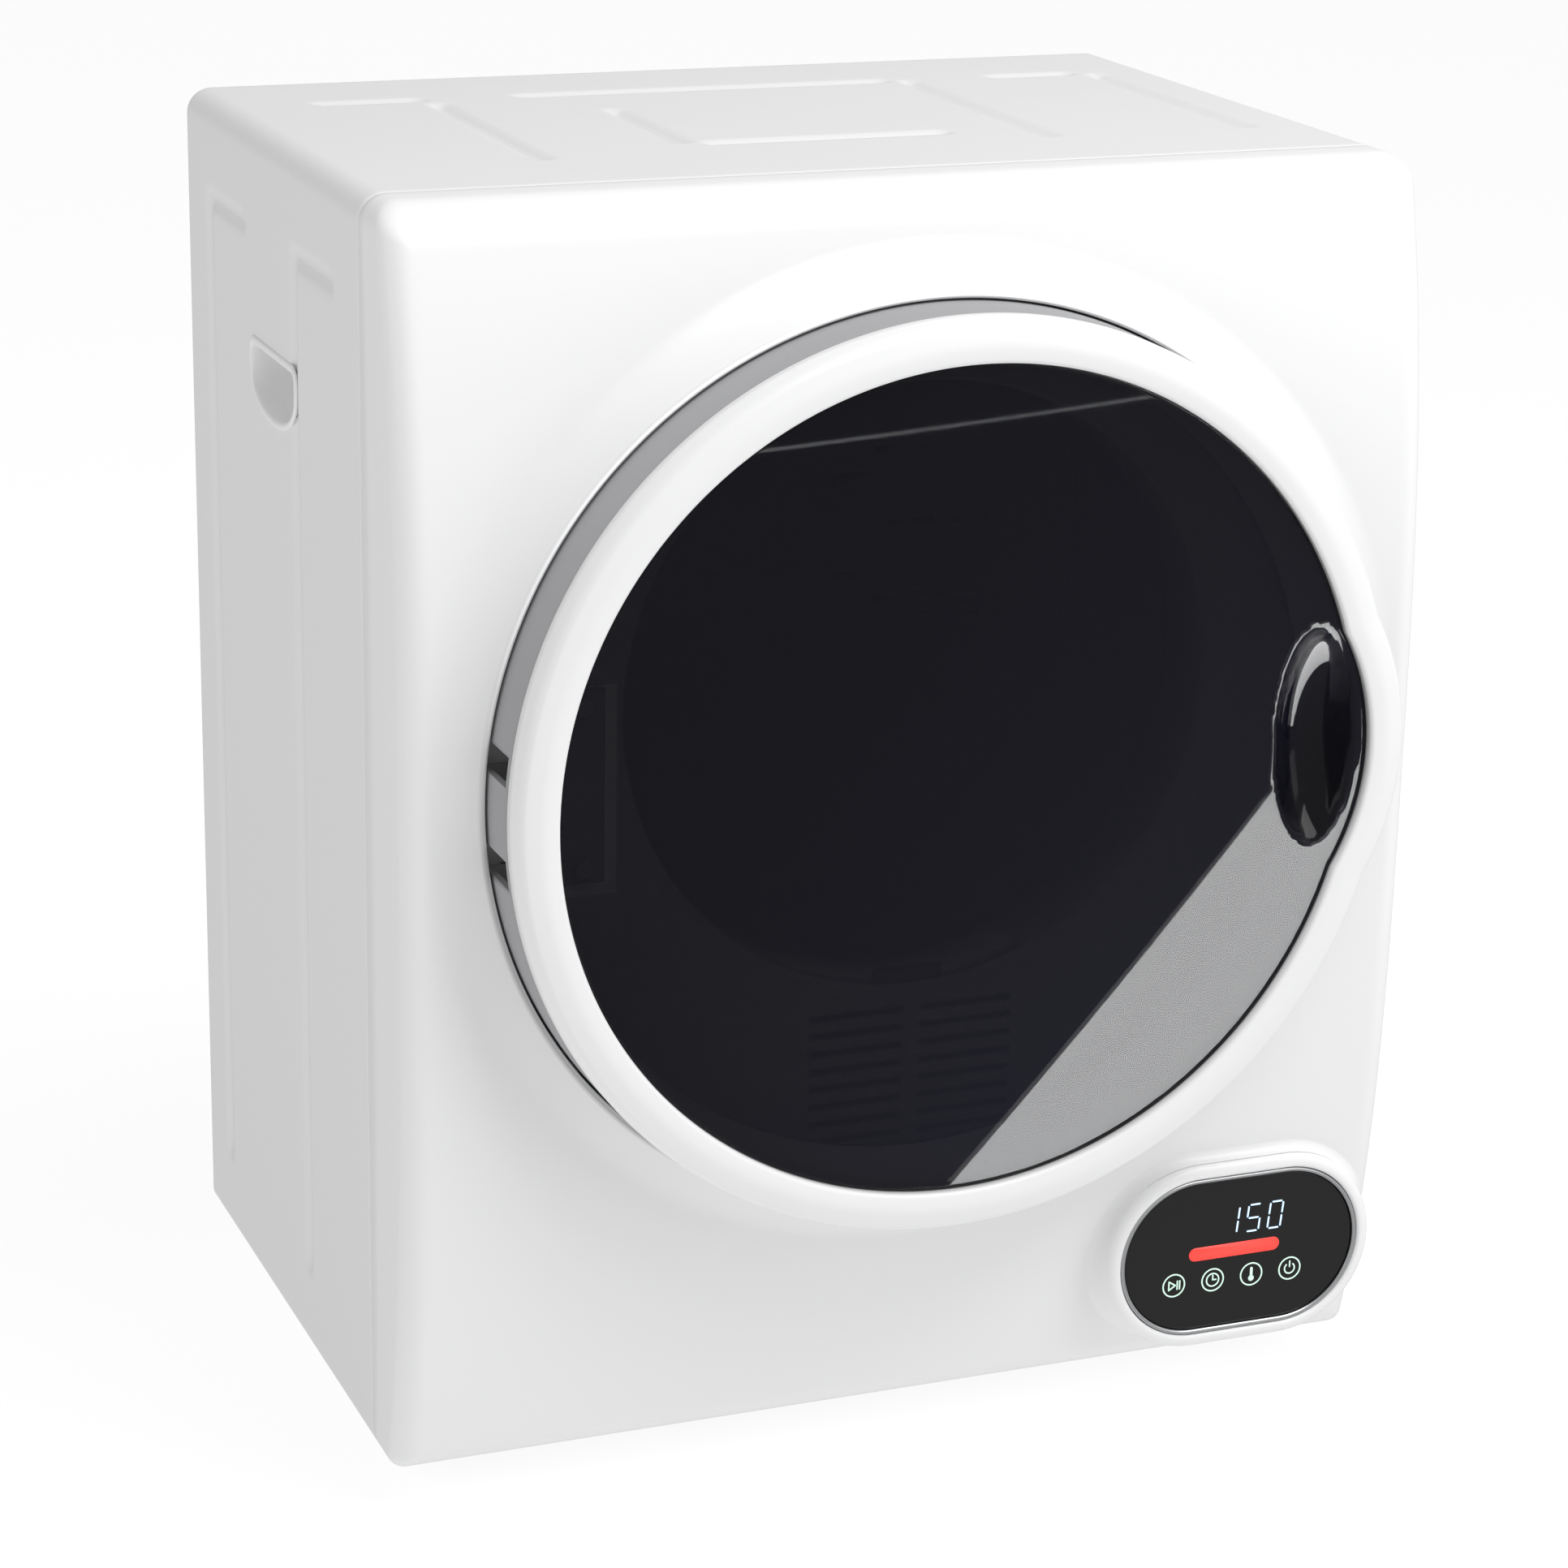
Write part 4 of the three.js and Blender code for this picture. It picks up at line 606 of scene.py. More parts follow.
def soften(made, width, segments=2, angle=35):
    """Rounds the hard edges of a piece."""
    edge = made.modifiers.new("Edges", "BEVEL")
    edge.width = width
    edge.segments = segments
    edge.limit_method = "ANGLE"
    edge.angle_limit = math.radians(angle)
    edge.harden_normals = True


def cut(made, cutters):
    """Cuts meshes in the making out of a piece, and keeps only the result."""
    for number, mesh in enumerate(cutters):
        bmesh.ops.recalc_face_normals(mesh, faces=mesh.faces)
        data = bpy.data.meshes.new(f"cutter_{number}")
        mesh.to_mesh(data)
        mesh.free()
        tool = bpy.data.objects.new(f"cutter_{number}", data)
        bpy.context.scene.collection.objects.link(tool)
        opening = made.modifiers.new("Opening", "BOOLEAN")
        opening.operation = "DIFFERENCE"
        opening.solver = "EXACT"
        opening.object = tool
        bake(made)
        bpy.data.objects.remove(tool)
        bpy.data.meshes.remove(data)


def bake(made):
    """Applies a piece's modifiers to its mesh."""
    graph = bpy.context.evaluated_depsgraph_get()
    result = bpy.data.meshes.new_from_object(made.evaluated_get(graph), depsgraph=graph)
    old = made.data
    made.modifiers.clear()
    made.data = result
    result.name = made.name
    bpy.data.meshes.remove(old)


def absorb(mesh, other):
    """Adds a second mesh to a first, and frees the second."""
    data = bpy.data.meshes.new("part")
    other.to_mesh(data)
    other.free()
    mesh.from_mesh(data)
    bpy.data.meshes.remove(data)


def prism(outline, back, front):
    """A solid with one (x, z) outline between two depths."""
    rings = [[at(x, depth, z) for x, z in outline] for depth in (back, front)]
    return loft(rings, cap_first=True, cap_last=True)


def slab(left, right, back, front, low, high):
    """A rectangular block between two widths, two depths and two heights."""
    return prism([(left, low), (right, low), (right, high), (left, high)], back, front)


def turned(profile, x, z, steps=180):
    """A closed profile of (radius, depth) points, turned about a line along Y."""
    rings = []
    for radius, depth in profile:
        turns = [2 * math.pi * i / steps for i in range(steps)]
        rings.append([at(x + radius * math.cos(a), depth, z + radius * math.sin(a)) for a in turns])
    return loft(rings, ends_joined=True)


def quarter(steps):
    """Angles from 0 to a right angle."""
    return [math.pi / 2 * i / steps for i in range(steps + 1)]


def arc(x, z, radius, start, turn, steps):
    """Points (x, z, outward x, outward z) round an arc, with its last point left out."""
    points = []
    for i in range(steps):
        angle = start + turn * i / steps
        out_x = math.cos(angle)
        out_z = math.sin(angle)
        points.append((x + radius * out_x, z + radius * out_z, out_x, out_z))
    return points


def straight(start, end, steps, facing):
    """Points (x, z, outward x, outward z) along a line, with its last point left out."""
    points = []
    for i in range(steps):
        share = i / steps
        x = start[0] + (end[0] - start[0]) * share
        z = start[1] + (end[1] - start[1]) * share
        points.append((x, z, facing[0], facing[1]))
    return points


def cabinet_outline(side, top, bottom, corner_steps=14, side_steps=130, end_steps=110):
    """The cabinet's outline drawn in by three insets, from the bottom right corner round and back."""
    cabinet = settings("cabinet")
    right = HALF_WIDTH - side
    high = WRAP_HIGH.z - top
    low = WRAP_LOW.z + bottom
    upper = max(cabinet.top_corner - min(side, top), 0.0008)
    lower = max(cabinet.bottom_corner - min(side, bottom), 0.0008)
    turn = math.pi / 2
    return [
        *arc(right - lower, low + lower, lower, -turn, turn, corner_steps),
        *straight((right, low + lower), (right, high - upper), side_steps, (1, 0)),
        *arc(right - upper, high - upper, upper, 0, turn, corner_steps),
        *straight((right - upper, high), (-right + upper, high), end_steps, (0, 1)),
        *arc(-right + upper, high - upper, upper, turn, turn, corner_steps),
        *straight((-right, high - upper), (-right, low + lower), side_steps, (-1, 0)),
        *arc(-right + lower, low + lower, lower, 2 * turn, turn, corner_steps),
        *straight((-right + lower, low), (right - lower, low), end_steps, (0, -1)),
    ]


# ---------------------------------------------------------------------------
# Cabinet
# ---------------------------------------------------------------------------


def ease(share):
    """A smooth step from 0 to 1."""
    share = min(max(share, 0.0), 1.0)
    return share * share * (3 - 2 * share)


def groove_dip(place, strokes):
    """How deep the pressed grooves are at a place on a flat face, from 0 to 1."""
    half = settings("cabinet").groove_width / 2
    dip = 0.0
    for (a0, b0), (a1, b1) in strokes:
        across = max(min(a0, a1) - place[0], place[0] - max(a0, a1), 0)
        along = max(min(b0, b1) - place[1], place[1] - max(b0, b1), 0)
        dip = max(dip, 1 - ease(math.hypot(across, along) / half))
    return dip


TOP_GROOVES = [
    ((-0.194, 0.063), (-0.148, 0.063)), ((-0.142, 0.080), (-0.142, 0.234)),
    ((-0.095, 0.063), (0.091, 0.063)), ((-0.067, 0.117), (-0.067, 0.208)),
    ((-0.054, 0.215), (0.058, 0.215)), ((0.104, 0.069), (0.104, 0.234)),
    ((0.153, 0.063), (0.192, 0.063)), ((0.205, 0.072), (0.205, 0.234)),
]
SIDE_GROOVE_DEPTHS = (0.041, 0.191)


def side_grooves():
    """Two tall lines on a side, each with a short leg at its top, as (depth, height) strokes."""
    low = WRAP_LOW.z + 0.046
    high = WRAP_HIGH.z - 0.046
    strokes = []
    for depth in SIDE_GROOVE_DEPTHS:
        strokes.append(((depth, low), (depth, high)))
        strokes.append(((depth, high), (depth + 0.062, high)))
    return strokes


def wrap_rows():
    """Depths of the wrap's rings: close together at its two rolled edges, even between them."""
    front = WRAP_HIGH.y
    roll = 0.0011
    rows = [(0.0, 0.0007), (0.0003, 0.0002), (roll, 0.0)]
    count = 98
    rows += [(roll + (front - 2 * roll) * i / count, 0.0) for i in range(1, count)]
    rows += [(front - roll, 0.0), (front - 0.0003, 0.0003), (front, 0.0009)]
    return rows


def sheet_wrap():
    """The painted steel wrap: sides, top and two bottom lips, with pressed grooves."""
    cabinet = settings("cabinet")
    sides = side_grooves()
    lip = 0.025
    rings = []
    for depth, roll in wrap_rows():
        ring = []
        for x, z, out_x, out_z in cabinet_outline(0, 0, 0, side_steps=190, end_steps=160):
            if z < WRAP_LOW.z + MM and abs(x) < HALF_WIDTH - lip:
                continue
            dip = roll
            if out_z == 1:
                dip += cabinet.groove_depth * groove_dip((x, depth), TOP_GROOVES)
            elif out_z == 0:
                dip += cabinet.groove_depth * groove_dip((depth, z), sides)
            ring.append(at(x - out_x * dip, depth, z - out_z * dip))
        rings.append(ring)
    first_right = next(i for i, point in enumerate(rings[0]) if point.x > 0)
    last_left = max(i for i, point in enumerate(rings[0]) if point.x < 0 and point.z < WRAP_LOW.z + 2 * MM)
    order = list(range(last_left + 1, len(rings[0]))) + list(range(first_right, last_left + 1))
    ordered = [[ring[i] for i in order] for ring in rings]
    sheet = loft(ordered, ring_closed=False)
    wrap = piece("cabinet_skin", sheet, "white_steel", "cabinet", ("cabinet_wrap",))
    thicken(wrap, 0.0012)
    bake(wrap)
    cut(wrap, [handle_block(side) for side in (-1, 1)])


def handle_outline(offset, steps=26):
    """The D-shaped outline of a carry handle as (depth, height) points, grown by an offset."""
    low, high = span("handle_cup_left")
    rim = 0.003
    middle = (low.y + high.y) / 2
    half = (high.y - low.y) / 2 - rim + offset
    top = high.z - rim + offset
    bottom = low.z + rim - offset
    corner = 0.005 + offset
    shoulder = top - 0.011
    points = []
    for angle in quarter(5):
        depth = middle + half - corner + corner * math.sin(angle)
        points.append((depth, top - corner + corner * math.cos(angle)))
    for i in range(steps + 1):
        angle = math.pi * i / steps
        sag = (shoulder - bottom) * abs(math.sin(angle)) ** 0.85
        points.append((middle + half * math.cos(angle), shoulder - sag))
    for angle in quarter(5):
        depth = middle - half + corner - corner * math.cos(angle)
        points.append((depth, top - corner + corner * math.sin(angle)))
    return points


def handle_ring(side, offset, inward):
    """A handle outline at a distance inward from the cabinet's side."""
    x = side * (HALF_WIDTH - inward)
    return [at(x, depth, z) for depth, z in handle_outline(offset)]


def handle_block(side):
    """The block that a carry handle takes out of the wrap."""
    rings = [handle_ring(side, -0.0002, inward) for inward in (-0.004, 0.01)]
    return loft(rings, cap_first=True, cap_last=True)


HANDLE_RIM = (
    (0.003, 0.0002), (0.0028, -0.0005), (0.0022, -0.0009),
    (0.0008, -0.001), (-0.0006, -0.0007), (-0.0012, 0.0005),
)


def handle_cup(side, name):
    """A carry handle: a rolled rim on the sheet and a deep cup with a soft floor."""
    low, high = span(name)
    deep = high.x - low.x - 0.001
    rings = [handle_ring(side, offset, inward) for offset, inward in HANDLE_RIM]
    rings += [handle_ring(side, -0.0016, deep * share) for share in (0.2, 0.45, 0.7)]
    floor_round = 0.005
    for angle in quarter(5):
        drawn = -0.0018 - floor_round * (1 - math.cos(angle))
        rings.append(handle_ring(side, drawn, deep - 0.002 - floor_round * (1 - math.sin(angle))))
    outside = ((-0.0004, 0.0016), (-0.0005, deep - 0.004), (-0.0045, deep - 0.0003))
    shell = rings[:1] + [handle_ring(side, offset, inward) for offset, inward in outside]
    mesh = loft(rings, cap_last=True)
    absorb(mesh, loft(shell, cap_last=True))
    bmesh.ops.remove_doubles(mesh, verts=mesh.verts, dist=1e-6)
    piece(name.replace("cup", "recess"), mesh, "white_plastic", "cabinet", (name,))


# ---------------------------------------------------------------------------
# Front moulding
# ---------------------------------------------------------------------------

COLLAR_CREST = PANEL_HIGH.y - 1.0 * MM
PANEL_CREST = PANEL_HIGH.y - 4.5 * MM
CREST_RADIUS = HOLE_RADIUS + 3.5 * MM


def bulge(z):
    """Depth of the front's flat part at a height."""
    rise = abs(z - MIDDLE) / HALF_HEIGHT
    return PANEL_CREST - settings("cabinet").bulge * rise ** 3


def edge_drop(distance, radius):
    """How far a rounded edge falls back at a distance in from the edge."""
    if distance >= radius:
        return 0.0
    inside = radius - max(distance, 0.0)
    return radius - math.sqrt(max(radius * radius - inside * inside, 0.0))


def collared_depth(x, z):
    """The moulding's depth inside its rounded edges."""
    depth = bulge(z)
    slope = (math.hypot(x, z - DOOR_Z) - CREST_RADIUS) / settings("cabinet").collar_width
    if slope < 1:
        depth += (COLLAR_CREST - depth) * (1 - max(slope, 0)) ** 1.8
    return depth


def panel_depth(x, z):
    """Depth of the front moulding at a place, its rounded edges and the door's collar included."""
    cabinet = settings("cabinet")
    depth = collared_depth(x, z)
    depth -= edge_drop(HALF_WIDTH - abs(x), cabinet.edge_round)
    depth -= edge_drop(z - WRAP_LOW.z, cabinet.edge_round)
    return depth - edge_drop(WRAP_HIGH.z - z, cabinet.top_round)


def edge_ring(share_in, share_back):
    """A ring of the front's rounded edge, drawn in and set back by shares of the local radius."""
    cabinet = settings("cabinet")
    side = cabinet.edge_round
    top = cabinet.top_round
    ring = []
    for x, z, out_x, out_z in cabinet_outline(side * share_in, top * share_in, side * share_in):
        radius = side * out_x ** 2 + (top if out_z > 0 else side) * out_z ** 2
        ring.append(at(x, bulge(z) - radius * share_back, z))
    return ring


def front_moulding():
    """The bulging front with its rounded edges and the collar round the door."""
    seam = PANEL_LOW.y
    rings = []
    for depth, inset in ((seam, 0.0011), (seam + 0.0003, 0.0004), (seam + 0.0011, 0)):
        rings.append([at(x, depth, z) for x, z, _, _ in cabinet_outline(inset, inset, inset)])
    rings += [edge_ring(1 - math.cos(angle), 1 - math.sin(angle)) for angle in quarter(10)]
    side = rings[2]
    edge = rings[3]
    rings[3:3] = [[a.lerp(b, share) for a, b in zip(side, edge)] for share in (0.33, 0.67)]
    start = rings.pop()
    steps = 44
    for step in range(steps + 1):
        share = 1 - (1 - step / steps) ** 1.7
        ring = []
        for point in start:
            towards = Vector((point.x, point.z - DOOR_Z)).normalized() * CREST_RADIUS
            x = point.x + (towards.x - point.x) * share
            z = point.z + (towards.y + DOOR_Z - point.z) * share
            ring.append(at(x, collared_depth(x, z), z))
        rings.append(ring)
    angles = [math.atan2(point.z - DOOR_Z, point.x) for point in start]
    lip = 0.0015
    wall = [(HOLE_RADIUS + lip, COLLAR_CREST)]
    wall += [
        (HOLE_RADIUS + lip * (1 - math.sin(a)), COLLAR_CREST - lip * (1 - math.cos(a)))
        for a in quarter(4)
    ]
    wall += [(HOLE_RADIUS, RECESS_HIGH.y + 0.004), (HOLE_RADIUS, RECESS_HIGH.y - 0.004)]
    for radius, depth in wall:
        rings.append([at(radius * math.cos(a), depth, DOOR_Z + radius * math.sin(a)) for a in angles])
    panel = piece("front_moulding", loft(rings), "white_plastic", "cabinet", ("front_panel",))
    thicken(panel, 0.0013)
    bake(panel)


def stadium(offset, steps=48, side_steps=12):
    """The control glass's outline grown by an offset, as (x, z) points."""
    radius = (TRIM_HIGH.z - TRIM_LOW.z) / 2 + offset
    reach = (TRIM_HIGH.x - TRIM_LOW.x) / 2 + offset - radius
    turn = math.pi / 2
    points = [
        *arc(POD_X + reach, POD_Z, radius, -turn, 2 * turn, steps),
        *straight((POD_X + reach, POD_Z + radius), (POD_X - reach, POD_Z + radius), side_steps, (0, 1)),
        *arc(POD_X - reach, POD_Z, radius, turn, 2 * turn, steps),
        *straight((POD_X - reach, POD_Z - radius), (POD_X + reach, POD_Z - radius), side_steps, (0, -1)),
    ]
    return [(x, z) for x, z, _, _ in points]


def control_pod():
    """The raised white rim that carries the control glass, with a fillet at its foot."""
    cabinet = settings("cabinet")
    crest = TRIM_HIGH.y + 0.0008
    limit = HALF_WIDTH - 0.0006
    flare = cabinet.pod_flare
    rings = []
    rings.append([at(x, PANEL_LOW.y + 0.012, z) for x, z in stadium(cabinet.pod_rim - 0.002)])
    for angle in quarter(8):
        ring = []
        for x, z in stadium(cabinet.pod_rim + flare * (1 - math.sin(angle))):
            x = min(x, limit)
            foot = panel_depth(x, max(z, WRAP_LOW.z)) - 0.0002
            ring.append(at(x, foot + flare * (1 - math.cos(angle)), z))
        rings.append(ring)
    round_out = 0.0045
    for angle in quarter(8):
        outline = stadium(cabinet.pod_rim - round_out * (1 - math.cos(angle)))
        rings.append([at(x, crest - round_out * (1 - math.sin(angle)), z) for x, z in outline])
    round_in = 0.0016
    for angle in quarter(5):
        outline = stadium(0.0004 + round_in * (1 - math.sin(angle)))
        rings.append([at(x, crest - round_in * (1 - math.cos(angle)), z) for x, z in outline])
    rings.append([at(x, TRIM_LOW.y - 0.0004, z) for x, z in stadium(0.0004)])
    piece("control_pod", loft(rings, cap_first=True, cap_last=True), "white_plastic", "cabinet")


# ---------------------------------------------------------------------------
# Control face
# ---------------------------------------------------------------------------

FACE_DEPTH = GLASS_HIGH.y
FACE_LEFT = POD_X - (TRIM_HIGH.x - TRIM_LOW.x) / 2 - 0.001
MARK_LIFT = 0.00012


def trim_ring():
    """A thin half-round metal ring round the glass."""
    base = TRIM_LOW.y
    crest = TRIM_HIGH.y
    width = 0.002
    rings = [[at(x, base, z) for x, z in stadium(0)], [at(x, crest - width / 2, z) for x, z in stadium(0)]]
    for i in range(1, 8):
        angle = math.pi * i / 8
        outline = stadium(-width / 2 + width / 2 * math.cos(angle))
        rings.append([at(x, crest - width / 2 + width / 2 * math.sin(angle), z) for x, z in outline])
    rings.append([at(x, crest - width / 2, z) for x, z in stadium(-width)])
    rings.append([at(x, base, z) for x, z in stadium(-width)])
    piece("trim_band", loft(rings, ends_joined=True), "aluminium", "cabinet", ("control_trim_ring",))


def touch_glass():
    """The black glass, with a ground edge."""
    gap = 0.0023
    base = GLASS_LOW.y
    edge = 0.0005
    levels = (
        (base, 0), (FACE_DEPTH - edge, 0), (FACE_DEPTH - edge * 0.3, edge * 0.3),
        (FACE_DEPTH, edge), (FACE_DEPTH, 3 * edge),
    )
    rings = [[at(x, depth, z) for x, z in stadium(-gap - inset)] for depth, inset in levels]
    mesh = loft(rings, cap_first=True, cap_last=True)
    piece("touch_glass", mesh, "black_glass", "cabinet", ("control_glass",))


def add_plate(mesh, outline, hole=None):
    """Adds a thin raised mark with an outline of (x, z) points, or a band between it and a hole."""
    levels = (FACE_DEPTH - MARK_LIFT, FACE_DEPTH + MARK_LIFT)
    rows = [[mesh.verts.new(at(x, depth, z)) for x, z in outline] for depth in levels]
    count = len(outline)
    if hole is None:
        mesh.faces.new(rows[0][::-1])
        mesh.faces.new(rows[1])
        loops = [(rows[0], rows[1])]
    else:
        inner = [[mesh.verts.new(at(x, depth, z)) for x, z in hole] for depth in levels]
        loops = [(rows[0], rows[1]), (rows[1], inner[1]), (inner[1], inner[0]), (inner[0], rows[0])]
    for near, far in loops:
        for i in range(count):
            j = (i + 1) % count
            mesh.faces.new((near[i], near[j], far[j], far[i]))


def circle(x, z, radius, steps=40):
    """Points (x, z) round a circle."""
    return [(px, pz) for px, pz, _, _ in arc(x, z, radius, 0, 2 * math.pi, steps)]


def capsule(start, end, width, steps=10):
    """The outline of a line with round ends."""
    lean = math.atan2(end[1] - start[1], end[0] - start[0])
    half = math.pi / 2
    points = []
    for (x, z), turn in ((end, lean - half), (start, lean + half)):
        for i in range(steps + 1):
            angle = turn + math.pi * i / steps
            points.append((x + width / 2 * math.cos(angle), z + width / 2 * math.sin(angle)))
    return points


SEGMENTS = {
    "a": ((0, 2), (1, 2)), "b": ((1, 2), (1, 1)), "c": ((1, 1), (1, 0)), "d": ((0, 0), (1, 0)),
    "e": ((0, 1), (0, 0)), "f": ((0, 2), (0, 1)), "g": ((0, 1), (1, 1)),
}
DIGITS = ["abcdef", "bc", "abged", "abgcd", "fgbc", "afgcd", "afgedc", "abc", "abcdefg", "abfgcd"]


def display_digits():
    """Seven-segment digits, leaning a little."""
    control = settings("control")
    height = control.digit_height
    wide = height * 0.5
    pitch = height * 0.86
    slant = 0.10
    left = FACE_LEFT + 0.0700 - pitch * 1.3
    low = POD_Z + 0.0160 - height / 2
    mesh = bmesh.new()
    for place, digit in enumerate(str(control.minutes)):
        for name in DIGITS[int(digit)]:
            (x0, z0), (x1, z1) = SEGMENTS[name]
            ends = []
            for x, z, other_x, other_z in ((x0, z0, x1, z1), (x1, z1, x0, z0)):
                x += (other_x - x) * 0.16
                z += (other_z - z) * 0.13
                up = z * height / 2
                ends.append((left + place * pitch + x * wide + up * slant, low + up))
            add_plate(mesh, capsule(ends[0], ends[1], 0.00085, 3))
    shade = lit("display_blue", control.digit_colour, 0.9)
    piece("display_digits", mesh, "clear_plastic", "cabinet", material=shade)


def status_bar():
    """The lit bar under the digits."""
    control = settings("control")
    mesh = bmesh.new()
    z = POD_Z + 0.001
    width = 0.0068
    left = (FACE_LEFT + 0.037 + width / 2, z)
    right = (FACE_LEFT + 0.085 - width / 2, z)
    add_plate(mesh, capsule(left, right, width, 14))
    shade = lit("display_red", control.bar_colour, 0.55)
    piece("status_bar", mesh, "clear_plastic", "cabinet", material=shade)


def play_mark(mesh, x, z, line):
    """A triangle and two bars."""
    corners = [(x - 0.0026, z - 0.0022), (x + 0.0008, z), (x - 0.0026, z + 0.0022)]
    for i, corner in enumerate(corners):
        add_plate(mesh, capsule(corner, corners[(i + 1) % 3], line, 4))
    for step in (0.0018, 0.0031):
        add_plate(mesh, capsule((x + step, z - 0.0021), (x + step, z + 0.0021), line, 4))


def clock_mark(mesh, x, z, line):
    """A dial and two hands."""
    add_plate(mesh, circle(x, z, 0.0036), circle(x, z, 0.0036 - line))
    add_plate(mesh, capsule((x, z), (x, z + 0.0023), line, 4))
    add_plate(mesh, capsule((x, z), (x + 0.0018, z), line, 4))


def heat_mark(mesh, x, z, line):
    """A thermometer."""
    add_plate(mesh, circle(x, z - 0.0021, 0.0015, 24))
    add_plate(mesh, capsule((x, z - 0.0012), (x, z + 0.0030), line * 2.0, 6))


def power_mark(mesh, x, z, line):
    """An open ring and a stroke."""
    radius = 0.0030
    steps = 26
    start = math.radians(125)
    turn = math.radians(290)
    outer = []
    inner = []
    for i in range(steps + 1):
        angle = start + turn * i / steps
        outer.append((x + radius * math.cos(angle), z + radius * math.sin(angle)))
        inner.append((x + (radius - line) * math.cos(angle), z + (radius - line) * math.sin(angle)))
    add_plate(mesh, outer + inner[::-1])
    add_plate(mesh, capsule((x, z + 0.0008), (x, z + 0.0037), line, 4))


def touch_symbols():
    """Four touch symbols in circles: start and pause, time, heat, power."""
    control = settings("control")
    mesh = bmesh.new()
    z = POD_Z - 0.0134
    line = control.line_width
    for number, mark in enumerate((play_mark, clock_mark, heat_mark, power_mark)):
        x = FACE_LEFT + 0.0297 + number * 0.0206
        add_plate(mesh, circle(x, z, control.icon_radius, 48), circle(x, z, control.icon_radius - line, 48))
        mark(mesh, x, z, line)
    shade = lit("symbol_mint", control.icon_colour, 0.5)
    piece("touch_symbols", mesh, "clear_plastic", "cabinet", material=shade)


# ---------------------------------------------------------------------------
# Door
# ---------------------------------------------------------------------------


def lobe(x, z):
    """Pushes a point of the door's right-hand edge out into the grip lobe."""
    door = settings("door")
    high = z - DOOR_Z
    radius = math.hypot(x, high)
    turn = math.atan2(high, x) * DOOR_RADIUS / door.lobe_half
    inner = WINDOW_RADIUS - 0.030
    if radius < inner or abs(turn) >= 1:
        return x, z
    share = min((radius - inner) / (WINDOW_RADIUS - inner), 1)
    reach = 1 + door.lobe_reach * share * (1 - turn * turn) / radius
    return x * reach, DOOR_Z + high * reach


def lobed_ring(radius, depth, steps=360):
    """A ring of the door at a radius and a depth, with the grip lobe."""
    ring = []
    for i in range(steps):
        angle = 2 * math.pi * i / steps
        x, z = lobe(radius * math.cos(angle), DOOR_Z + radius * math.sin(angle))
        ring.append(at(x, depth, z))
    return ring


def front_ring():
    """The white ring that frames the window."""
    inner = WINDOW_RADIUS + 0.0003
    outer = DOOR_RADIUS
    front = RING_HIGH.y
    back = RING_LOW.y
    profile = [(inner, front - 0.009), (inner, front - 0.0028)]
    profile += [
        (inner + 0.0022 * (1 - math.cos(a)), front - 0.0006 - 0.0022 * (1 - math.sin(a))) for a in quarter(5)
    ]
    crest = (inner + 0.0060, front)
    shoulder = (outer - 0.0050, front - 0.0018)
    profile += [crest, (inner + 0.0100, front - 0.0002), shoulder]
    profile += [
        (shoulder[0] + (outer - shoulder[0]) * math.sin(a), front - 0.0105 + 0.0087 * math.cos(a))
        for a in quarter(8)[1:]
    ]
    profile += [(outer, back + 0.0006), (outer - 0.0006, back), (outer - 0.003, back)]
    profile += [(outer - 0.0032, front - 0.0125), (outer - 0.007, front - 0.0062)]
    profile += [(inner + 0.006, front - 0.0055)]
    rings = [lobed_ring(radius, depth) for radius, depth in profile]
    piece("door_ring", loft(rings, ends_joined=True), "white_plastic", "door", ("door_front_ring",))


def window_depth(x, z):
    """Depth of the window's front at a place: a low dome with the finger scoop pressed into it."""
    door = settings("door")
    radius = math.hypot(x, z - DOOR_Z)
    front = RING_HIGH.y - 0.0052
    depth = front + door.dome * (1 - (radius / WINDOW_RADIUS) ** 2)
    across = (x - (WINDOW_RADIUS - 0.019)) / 0.0205
    along = (z - DOOR_Z - 0.008) / 0.0495
    hollow = 1 - across * across - along * along
    if hollow > 0:
        depth -= door.scoop_depth * hollow ** 0.8
    return depth


def smoked_window():
    """The domed smoked window, 2.2 mm thick."""
    steps = 480
    count = 110
    edge = WINDOW_RADIUS
    rings = []
    for number in range(1, count + 1):
        radius = edge * number / count
        ring = []
        for i in range(steps):
            angle = 2 * math.pi * i / steps
            x, z = lobe(radius * math.cos(angle), DOOR_Z + radius * math.sin(angle))
            ring.append(at(x, window_depth(x, z), z))
        rings.append(ring)
    window = piece("smoked_window", loft(rings, cap_first=True), "smoked_plastic", "door", ("door_window",))
    thicken(window, 0.0022)
    bake(window)


def door_side_wall():
    """The white plastic wall behind the front ring, coloured grey as painted shade, with slots for the hinge
    arms.
    """
    inner = WINDOW_RADIUS - 0.003
    r = DOOR_RADIUS
    back = SHELL_LOW.y
    parting = SHELL_HIGH.y
    profile = [(inner, back), (r - 0.0016, back)]
    profile += [
        (r - 0.0016 + 0.0016 * math.sin(a), back + 0.0016 - 0.0016 * math.cos(a))
        for a in quarter(4)[1:]
    ]
    profile += [(r, parting - 0.0008), (r - 0.0008, parting), (r - 0.003, parting)]
    profile += [(r - 0.003, back + 0.003), (inner, back + 0.003)]
    # Painted shade: the wall's slot is white plastic, and its grey material paints the shade behind the
    # ring.
    wall = piece(
        "door_wall", turned(profile, 0, DOOR_Z, 240), "white_plastic", "door", ("door_back_shell",),
        shaded_moulding(),
    )
    front = SHELL_HIGH.y - 0.003
    cutters = []
    for side in (-1, 1):
        near, far = sorted((DOOR_Z + side * 0.0164, DOOR_Z + side * 0.0296))
        cutters.append(slab(-r - 0.002, -r + 0.039, back - 0.01, front, near, far))
    cut(wall, cutters)


